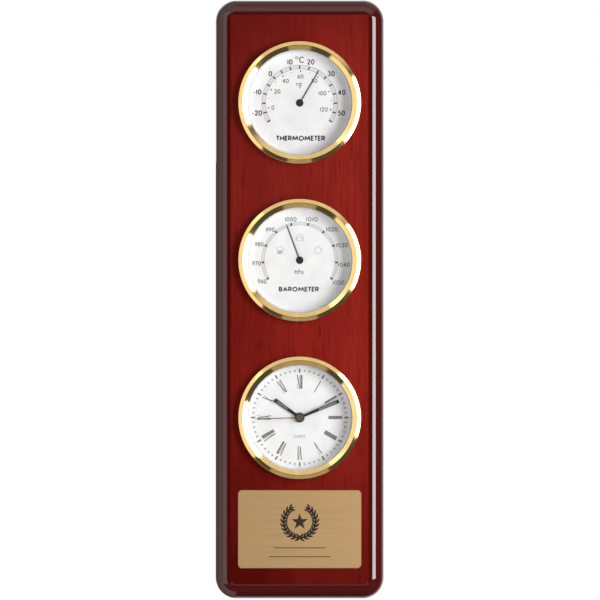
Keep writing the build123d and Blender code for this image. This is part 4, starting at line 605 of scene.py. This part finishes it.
scale_marks = bpy.data.node_groups.new("scale_marks", "GeometryNodeTree")
given = socketed(scale_marks, (
    ("Count", "Int"), ("Radius", "Float"), ("First Angle", "Float"), ("Step", "Float"),
    ("Length", "Float"), ("Width", "Float"), ("Round", "Bool"), ("Centre", "Vector"),
    ("Ink", "Material")))
index = add_node(scale_marks, "GeometryNodeInputIndex").outputs[0]
angle = reckon(scale_marks, "MULTIPLY_ADD", index, given["Step"], given["First Angle"])
stroke = add_node(scale_marks, "GeometryNodeMeshGrid", {
    "Size X": given["Width"], "Size Y": given["Length"], "Vertices X": 2, "Vertices Y": 2}).outputs[0]
half_width = reckon(scale_marks, "MULTIPLY", given["Width"], 0.5)
dot = add_node(scale_marks, "GeometryNodeMeshCircle", {
    "Vertices": 20, "Radius": half_width}, fill_type="NGON").outputs[0]
either = add_node(scale_marks, "GeometryNodeSwitch", {
    "Switch": given["Round"], "False": stroke, "True": dot}, input_type="GEOMETRY").outputs[0]
upright = add_node(scale_marks, "GeometryNodeTransform", {
    "Geometry": either, "Rotation": (pi / 2, 0, 0)}).outputs[0]
marks = turned_copies(scale_marks, given["Count"], point_on_arc(scale_marks, angle, given["Radius"]),
                      angle, upright)
settled(scale_marks, marks, given["Centre"], given["Ink"])


def marked(insert, count, radius, first, step, length, width, material, is_round=False, lift=0.0):
    """A row of ticks or dots round a dial; sizes in mm and angles in degrees."""
    return grown(f"{insert}_marks", scale_marks, {
        "Count": count, "Radius": radius * MM, "First Angle": radians(first), "Step": radians(step),
        "Length": length * MM, "Width": width * MM, "Round": is_round,
        "Centre": centre_of[insert] - Vector((0, lift * MM, 0)), "Ink": material})


def on_dial(insert, outlines, material, lift=0.0):
    """Outlines in mm from a dial's centre, printed on it."""
    centre = centre_of[insert]
    placed = [[(centre.x + x * MM, centre.z + z * MM) for x, z in outline] for outline in outlines]
    return flat_mesh(f"{insert}_print", placed, centre.y - lift * MM, material)


def turned(point, degrees):
    """A point turned clockwise about a dial's centre."""
    x, z = point
    turn = radians(degrees)
    return x * cos(turn) + z * sin(turn), z * cos(turn) - x * sin(turn)


def ring_band(insert, inner, outer, half, material, lift):
    """A flat arc between two radii, spread by half its angle to both sides of the top."""
    pieces = round(2 * half / BAND_PIECE)
    turns = [half * (2 * number / pieces - 1) for number in range(pieces + 1)]
    outlines = [[turned((0, radius), turn)
                 for radius, turn in ((inner, first), (outer, first), (outer, last), (inner, last))]
                for first, last in zip(turns, turns[1:])]
    return on_dial(insert, outlines, material, lift)


def bow(middle_x, middle_y, half_width, half_height, start, end):
    """Points along an oval's arc, with angles clockwise from its top."""
    steps = max(4, round(abs(end - start) / 15))
    turns = [radians(start + (end - start) * step / steps) for step in range(steps + 1)]
    return [(middle_x + half_width * sin(turn), middle_y + half_height * cos(turn)) for turn in turns]


# Each letter's width and pen strokes, for capitals one unit high
ALPHABET = {
    "0": (0.58, [bow(0.29, 0.5, 0.29, 0.5, 0, 360)]),
    "1": (0.08, [[(0.04, 1), (0.04, 0)]]),
    "2": (0.54, [bow(0.26, 0.73, 0.25, 0.27, -80, 125) + [(0, 0), (0.54, 0)]]),
    "3": (0.5, [bow(0.24, 0.76, 0.21, 0.24, -70, 180), bow(0.24, 0.26, 0.26, 0.26, 0, 250)]),
    "4": (0.6, [[(0.44, 0), (0.44, 1), (0, 0.25), (0.6, 0.25)]]),
    "5": (0.52, [[(0.46, 1), (0.14, 1), (0.06, 0.56)] + bow(0.24, 0.32, 0.28, 0.32, -40, 235)]),
    "6": (0.56, [bow(0.28, 0.32, 0.28, 0.32, 0, 360), [(0.05, 0.5), (0.4, 1)]]),
    "7": (0.5, [[(0, 1), (0.5, 1), (0.14, 0)]]),
    "8": (0.52, [bow(0.26, 0.76, 0.21, 0.24, 0, 360), bow(0.26, 0.26, 0.26, 0.26, 0, 360)]),
    "9": (0.56, [bow(0.28, 0.68, 0.28, 0.32, 0, 360), [(0.51, 0.5), (0.16, 0)]]),
    "-": (0.3, [[(0, 0.42), (0.3, 0.42)]]),
    "+": (0.6, [[(0, 0.5), (0.6, 0.5)], [(0.3, 0.8), (0.3, 0.2)]]),
    ".": (0.1, [[(0.05, -0.1), (0.05, 0.1)]]),
    " ": (0.2, []),
    "°": (0.42, [bow(0.21, 0.86, 0.21, 0.21, 0, 360)]),
    "A": (0.74, [[(0, 0), (0.37, 1), (0.74, 0)], [(0.13, 0.33), (0.61, 0.33)]]),
    "B": (0.52, [[(0, 0), (0, 1)] + bow(0.24, 0.765, 0.23, 0.235, 0, 180) + [(0, 0.53)],
                 bow(0.24, 0.265, 0.28, 0.265, 0, 180) + [(0, 0)]]),
    "C": (0.78, [bow(0.46, 0.5, 0.46, 0.5, 45, -225)]),
    "E": (0.4, [[(0.44, 1), (0, 1), (0, 0), (0.44, 0)], [(0, 0.52), (0.41, 0.52)]]),
    "F": (0.46, [[(0.46, 1), (0, 1), (0, 0)], [(0, 0.52), (0.42, 0.52)]]),
    "H": (0.66, [[(0, 0), (0, 1)], [(0.66, 0), (0.66, 1)], [(0, 0.52), (0.66, 0.52)]]),
    "M": (1.0, [[(0, 0), (0.12, 1), (0.5, 0.15), (0.88, 1), (1, 0)]]),
    "O": (0.84, [bow(0.42, 0.5, 0.42, 0.5, 0, 360)]),
    "P": (0.46, [[(0, 0), (0, 1)] + bow(0.22, 0.73, 0.24, 0.27, 0, 180) + [(0, 0.46)]]),
    "Q": (1.0, [bow(0.5, 0.5, 0.5, 0.5, 0, 360), [(0.62, 0.3), (0.95, -0.05)]]),
    "R": (0.54, [[(0, 0), (0, 1)] + bow(0.25, 0.74, 0.27, 0.26, 0, 180) + [(0, 0.48)],
                 [(0.22, 0.48), (0.54, 0)]]),
    "S": (0.5, [bow(0.25, 0.75, 0.23, 0.25, 60, -180) + bow(0.25, 0.25, 0.25, 0.25, 0, 240)[1:]]),
    "T": (0.42, [[(-0.07, 1), (0.49, 1)], [(0.21, 1), (0.21, 0)]]),
    "U": (0.58, [[(0, 1)] + bow(0.29, 0.3, 0.29, 0.3, -90, -270) + [(0.58, 1)]]),
    "V": (0.7, [[(0, 1), (0.35, 0), (0.7, 1)]]),
    "Z": (0.54, [[(0, 1), (0.54, 1), (0, 0), (0.54, 0)]]),
    "a": (0.5, [bow(0.25, 0.32, 0.25, 0.32, 0, 360), [(0.5, 0.64), (0.5, 0)]]),
    "h": (0.44, [[(0, 0), (0, 1)], bow(0.22, 0.4, 0.22, 0.24, -90, 90) + [(0.44, 0)]]),
}
LETTER_SPACE = 0.32
MITRE_LIMIT = 1.6
DEGREE_PEN = 0.6


def ribbon(points, width):
    """Outlines of a pen stroke along a chain of points, mitred at its bends but cut at sharp ones."""
    spots = [Vector(point) for point in points]
    closed = (spots[0] - spots[-1]).length < 0.01 * width
    normals = [Vector((first.y - last.y, last.x - first.x)).normalized()
               for first, last in zip(spots, spots[1:])]
    pieces = []
    for number, (first, last) in enumerate(zip(spots, spots[1:])):
        own = normals[number]
        corners = []
        for spot, beside in ((first, number - 1), (last, number + 1)):
            across, reach = own, 1.0
            if closed or 0 <= beside < len(normals):
                halfway = (own + normals[beside % len(normals)]).normalized()
                mitre = 1 / max(0.01, halfway.dot(own))
                if mitre <= MITRE_LIMIT:
                    across, reach = halfway, mitre
            corners.append((spot + across * (reach * width / 2), spot - across * (reach * width / 2)))
        (left, right), (next_left, next_right) = corners
        pieces.append([tuple(corner) for corner in (left, right, next_right, next_left)])
    return pieces


def pen_strokes(words, place, cap, pen, width=None):
    """Outlines of upright words centred at a place; cap height, pen and width in mm."""
    total = sum(ALPHABET[letter][0] for letter in words) + LETTER_SPACE * (len(words) - 1)
    tall = cap - pen
    wide = (width - pen) / total if width else tall
    start = place[0] - total * wide / 2
    outlines = []
    for letter in words:
        letter_width, strokes = ALPHABET[letter]
        for stroke in strokes:
            path = [(start + x * wide, place[1] + (y - 0.5) * tall) for x, y in stroke]
            outlines += ribbon(path, DEGREE_PEN * pen if letter == "°" else pen)
        start += (letter_width + LETTER_SPACE) * wide
    return outlines


def lettering(insert, words, place, material, cap, pen, width=None):
    """Words printed on a dial."""
    return on_dial(insert, pen_strokes(words, place, cap, pen, width), material)


def printed(insert, pieces):
    """Join a dial's printing into one piece that stays with the plaque."""
    sheet = joined(f"{insert}_printing", pieces)
    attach(sheet, "plaque")


# The thermometer's printing: a grey ring with a tick at each five degrees Celsius, dots for the
# Fahrenheit scale inside it, upright numerals along both and the instrument's kind below.
DEGREE_STEP = 3.014
TOP_CELSIUS = 15
SCALE_HALF = 120.6
CELSIUS_PLACES = {
    -20: (-25.8, -6.1), -10: (-25.6, 6.6), 0: (-17.7, 17.7), 10: (-5.9, 24.8),
    20: (6.7, 24.8), 30: (19.0, 17.7), 40: (25.4, 6.4), 50: (25.2, -6.1)}
FAHRENHEIT_PLACES = {
    0: (-16.2, -2.8), 20: (-13.5, 7.0), 40: (-8.5, 13.4), 60: (0.5, 16.0),
    80: (8.9, 13.4), 100: (13.8, 5.9), 120: (14.6, -3.9)}


def fahrenheit_angle(degrees):
    """Angle of a Fahrenheit temperature on the Celsius scale, clockwise from the top."""
    return ((degrees - 32) / 1.8 - TOP_CELSIUS) * DEGREE_STEP


TWENTY_F = fahrenheit_angle(20) - fahrenheit_angle(0)
sheet = [
    ring_band("thermometer", 20.75, 22.8, SCALE_HALF, band_ink, BAND_LIFT),
    ring_band("thermometer", 20.5, 20.8, SCALE_HALF, edge_ink, EDGE_LIFT),
    ring_band("thermometer", 22.75, 23.05, SCALE_HALF, edge_ink, EDGE_LIFT),
    marked("thermometer", 17, 21.6, -SCALE_HALF, 5 * DEGREE_STEP, 2.1, 0.8, dark_ink),
    marked("thermometer", 7, 19.1, fahrenheit_angle(0), TWENTY_F, 0.7, 0.95, dark_ink, is_round=True),
    marked("thermometer", 6, 19.1, fahrenheit_angle(10), TWENTY_F, 0.4, 0.7, line_ink, is_round=True),
    lettering("thermometer", "°C", (0.0, 26.1), dark_ink, cap=3.9, pen=0.6),
    lettering("thermometer", "°F", (-0.3, 10.3), grey_ink, cap=3.5, pen=0.5),
    lettering("thermometer", "THERMOMETER", (0.6, -21.3), dark_ink, cap=3.2, pen=0.76, width=29.6),
]
for degrees, place in CELSIUS_PLACES.items():
    sheet.append(lettering("thermometer", f"{degrees}", place, dark_ink, cap=3.3, pen=0.62))
for degrees, place in FAHRENHEIT_PLACES.items():
    sheet.append(lettering("thermometer", f"{degrees}", place, grey_ink, cap=2.7, pen=0.42))
printed("thermometer", sheet)

# The barometer's printing: a narrower grey ring with a tick at each ten hectopascals, upright
# numerals round it, three weather signs in thin lines and the instrument's kind below.
PRESSURE_HALF = 120
PRESSURE_STEP = 26.667
PRESSURE_PLACES = {
    960: (-22.8, -12.8), 970: (-26.1, -1.9), 980: (-24.4, 9.6), 990: (-17.8, 18.5), 1000: (-5.4, 24.7),
    1010: (7.4, 24.7), 1020: (19.5, 18.7), 1030: (25.6, 9.1), 1040: (26.8, -2.7), 1050: (23.4, -13.5)}
THREE_FIGURES, FOUR_FIGURES = 5.3, 7.0
SIGN_LINE = 0.25
SUN_RADIUS = 2.1
DROP_WIDTH = 0.5
FAIR = (11.1, 6.1)
CHANGING = (0.0, 13.7)
RAIN = (-11.9, 6.3)
sheet = [
    ring_band("barometer", 21.5, 22.9, PRESSURE_HALF, band_ink, BAND_LIFT),
    ring_band("barometer", 21.3, 21.6, PRESSURE_HALF, edge_ink, EDGE_LIFT),
    ring_band("barometer", 22.8, 23.1, PRESSURE_HALF, edge_ink, EDGE_LIFT),
    marked("barometer", 10, 22.2, -PRESSURE_HALF, PRESSURE_STEP, 1.6, 1.1, dark_ink),
    lettering("barometer", "hPa", (-0.3, -7.1), grey_ink, cap=2.7, pen=0.4, width=5.2),
    lettering("barometer", "BAROMETER", (-0.5, -17.5), dark_ink, cap=3.0, pen=0.72, width=24.3),
]
for pressure, place in PRESSURE_PLACES.items():
    width = FOUR_FIGURES if pressure >= 1000 else THREE_FIGURES
    sheet.append(lettering("barometer", f"{pressure}", place, grey_ink, cap=2.7, pen=0.42, width=width))
strokes = ribbon(bow(*FAIR, SUN_RADIUS, SUN_RADIUS, 0, 360), SIGN_LINE)
strokes += ribbon(bow(*CHANGING, SUN_RADIUS, SUN_RADIUS, -130, 130), SIGN_LINE)
for cloud_x, cloud_z in ((CHANGING[0], CHANGING[1] - 1.0), (RAIN[0], RAIN[1] + 0.6)):
    foot_left, foot_right = (cloud_x - 1.2, cloud_z - 0.9), (cloud_x + 1.4, cloud_z - 0.9)
    strokes += ribbon([foot_left] + bow(cloud_x - 1.2, cloud_z, 0.9, 0.9, -180, 20)
                      + bow(cloud_x + 0.2, cloud_z + 0.5, 1.1, 1.1, -60, 70)
                      + bow(cloud_x + 1.4, cloud_z - 0.1, 0.8, 0.8, 0, 180), SIGN_LINE)
    strokes.append(ruled_line(foot_left, foot_right, SIGN_LINE))
drops = [ruled_line((RAIN[0] + shift, RAIN[1] - 0.7), (RAIN[0] + shift - 0.5, RAIN[1] - 2.4), DROP_WIDTH)
         for shift in (-0.9, 0.2, 1.3)]
sheet += [on_dial("barometer", strokes, line_ink), on_dial("barometer", drops, grey_ink)]
printed("barometer", sheet)

# The clock's printing: tall Roman numerals with thick and thin strokes and their feet to the centre,
# with a mark for each minute and a longer one for each hour outside them.
NUMERALS = ("XII", "I", "II", "III", "IIII", "V", "VI", "VII", "VIII", "IX", "X", "XI")
NUMERAL_FOOT = 17.4
NUMERAL_HEIGHT = 8.3
HOUR_STEP = 30
MINUTE_STEP = 6
THICK, THIN = 0.58, 0.25
LETTER_WIDTH = {"I": 0.57, "V": 1.85, "X": 2.0}
LETTER_GAP = 0.08
LETTER_STROKES = {
    "I": (((0.5, 0), (0.5, 1), THICK),),
    "V": (((0.1, 1), (0.5, 0), THICK), ((0.9, 1), (0.5, 0), THIN)),
    "X": (((0.1, 1), (0.9, 0), THICK), ((0.9, 1), (0.1, 0), THIN)),
}
strokes = []
for hour, numeral in enumerate(NUMERALS):
    total = sum(LETTER_WIDTH[letter] for letter in numeral) + LETTER_GAP * (len(numeral) - 1)
    left = -total / 2
    for letter in numeral:
        for start, end, width in LETTER_STROKES[letter]:
            ends = [(left + x * LETTER_WIDTH[letter], NUMERAL_FOOT + y * NUMERAL_HEIGHT)
                    for x, y in (start, end)]
            strokes.append([turned(corner, HOUR_STEP * hour) for corner in ruled_line(*ends, width)])
        left += LETTER_WIDTH[letter] + LETTER_GAP
sheet = [
    on_dial("clock", strokes, numeral_ink),
    marked("clock", 60, 28.2, 0, MINUTE_STEP, 1.3, 1.0, mark_ink, lift=BAND_LIFT),
    marked("clock", 12, 28.3, 0, HOUR_STEP, 2.6, 0.9, numeral_ink),
    lettering("clock", "QUARTZ", (0, -11.4), line_ink, cap=1.7, pen=0.25, width=7.0),
]
printed("clock", sheet)

# The needles and hands: thin sheet metal lacquered dark grey, pressed on their arbors. A needle's
# blade carries a flat mid-grey face wider than the needle itself: painted shade that stands for the
# needle's soft shadow along with the needle, which throws no shadow of its own on its dial. The
# clock's two long hands have a pale stripe in their outer half, and the seconds hand is gilt.
HAND_GREY = (0.012, 0.012, 0.014, 1)
GILT_BROWN = (0.13, 0.1, 0.07, 1)
NEEDLE_AT = {"thermometer": 30.5, "barometer": -20.4}
BLADE_ROOT = 1.1
BLADE_TIP = 0.9
BLADE_START = 2.0
BLADE_END = 22.9
BLADE_OUTLINE = (
    (-BLADE_ROOT / 2, BLADE_START), (-BLADE_TIP / 2, BLADE_END - BLADE_TIP), (0, BLADE_END),
    (BLADE_TIP / 2, BLADE_END - BLADE_TIP), (BLADE_ROOT / 2, BLADE_START))
hand_grey = plastic("hand_lacquer", HAND_GREY, 0.35, 0.45, 0.05, 0.2)
gilt = metal("gilt_hand", GILT_BROWN, 0.35, 0.48, 500.0)
# The needle faces' mid grey and their width are partly painted shadow, as the needles cast none.
needle_and_shadow_grey = ink("needle_lacquer_and_shadow", (0.11, 0.11, 0.115, 1))
stripe_grey = ink("stripe_grey", (0.21, 0.21, 0.215, 1))
dress(hand_grey, "thermometer_needle", "barometer_needle", "hour_hand", "minute_hand")
dress(gilt, "second_hand")
for insert, degrees in NEEDLE_AT.items():
    needle = cad_node[f"{insert}_needle"]
    needle.visible_shadow = False
    centre = centre_of[insert]
    blade_front = min(corner.co.y for corner in needle.data.vertices
                      if (corner.co - centre).length > BLADE_END / 2 * MM)
    blade = [(centre.x + x * MM, centre.z + z * MM)
             for x, z in (turned(corner, degrees) for corner in BLADE_OUTLINE)]
    face = flat_mesh(f"{insert}_needle_face", [blade], blade_front - PRINT_STAND, needle_and_shadow_grey)
    face.visible_shadow = False
    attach(face, f"{insert}_pointer")
middle = Vector((centre_of["clock"].x, centre_of["clock"].z))
for name, hand, body, degrees, start, end, width in (
        ("hour_stripe", "hour_hand", "hours", 305.6, 9.0, 16.8, 0.95),
        ("minute_stripe", "minute_hand", "minutes", 67.2, 12.5, 24.2, 0.9)):
    hand_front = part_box(hand)[0].y
    run = [Vector(turned((0, radius * MM), degrees)) + middle for radius in (start, end)]
    stripe = flat_mesh(name, [ruled_line(*run, width * MM)], hand_front - PRINT_STAND, stripe_grey)
    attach(stripe, body)

# The white moulded rings between dial and glass, and the mineral glass discs that lie on them. The
# glass lets the light through to the dial and mirrors the studio only weakly.
dress(white_plastic, *(f"{insert}_dial_ring" for insert in INSERTS))
clear_glass, tree, shader = finish("clear_glass", {
    "Transmission Weight": 1.0, "Roughness": 0.0, "IOR": 1.45, "Specular Tint": (0.4, 0.4, 0.4, 1)})
path = add_node(tree, "ShaderNodeLightPath").outputs
passing = reckon(tree, "MAXIMUM", path["Is Shadow Ray"], path["Is Diffuse Ray"])
clear = add_node(tree, "ShaderNodeBsdfTransparent")
through = add_node(tree, "ShaderNodeMixShader", {0: passing, 1: shader.outputs[0], 2: clear.outputs[0]})
tree.links.new(through.outputs[0], tree.nodes["Material Output"].inputs["Surface"])
dress(clear_glass, *(f"{insert}_lens" for insert in INSERTS))

# The rims: rings pressed from brass sheet, polished and gold plated, and snapped over the glass and
# the case's lip, so that they hold each instrument together.
POLISHED_GOLD = (0.94, 0.65, 0.26, 1)
gold = metal("polished_gold", POLISHED_GOLD, 0.06, 0.11, 160.0)
dress(gold, *(f"{insert}_bezel" for insert in INSERTS))

# The marks on the clock case's back: small pale words printed beside the setting knob and the
# battery's door.
MARK_CAP = 2.3
MARK_PEN = 0.32
outlines = []
for words, neighbour, rise in (("SET", "setting_knob", 3.0), ("+ 1.5V", "battery_door", 2.6)):
    low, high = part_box(neighbour)
    middle_x = (low.x + high.x) / 2
    foot = high.z + rise * MM
    outlines += [[(middle_x - x * MM, foot + z * MM) for x, z in outline]
                 for outline in pen_strokes(words, (0, 0), MARK_CAP, MARK_PEN)]
pale_ink = ink("pale_ink", (0.42, 0.42, 0.41, 1))
case_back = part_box("clock_case")[1].y
case_marks = flat_mesh("case_marks", outlines, case_back + PRINT_STAND, pale_ink, facing=1)
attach(case_marks, "plaque")
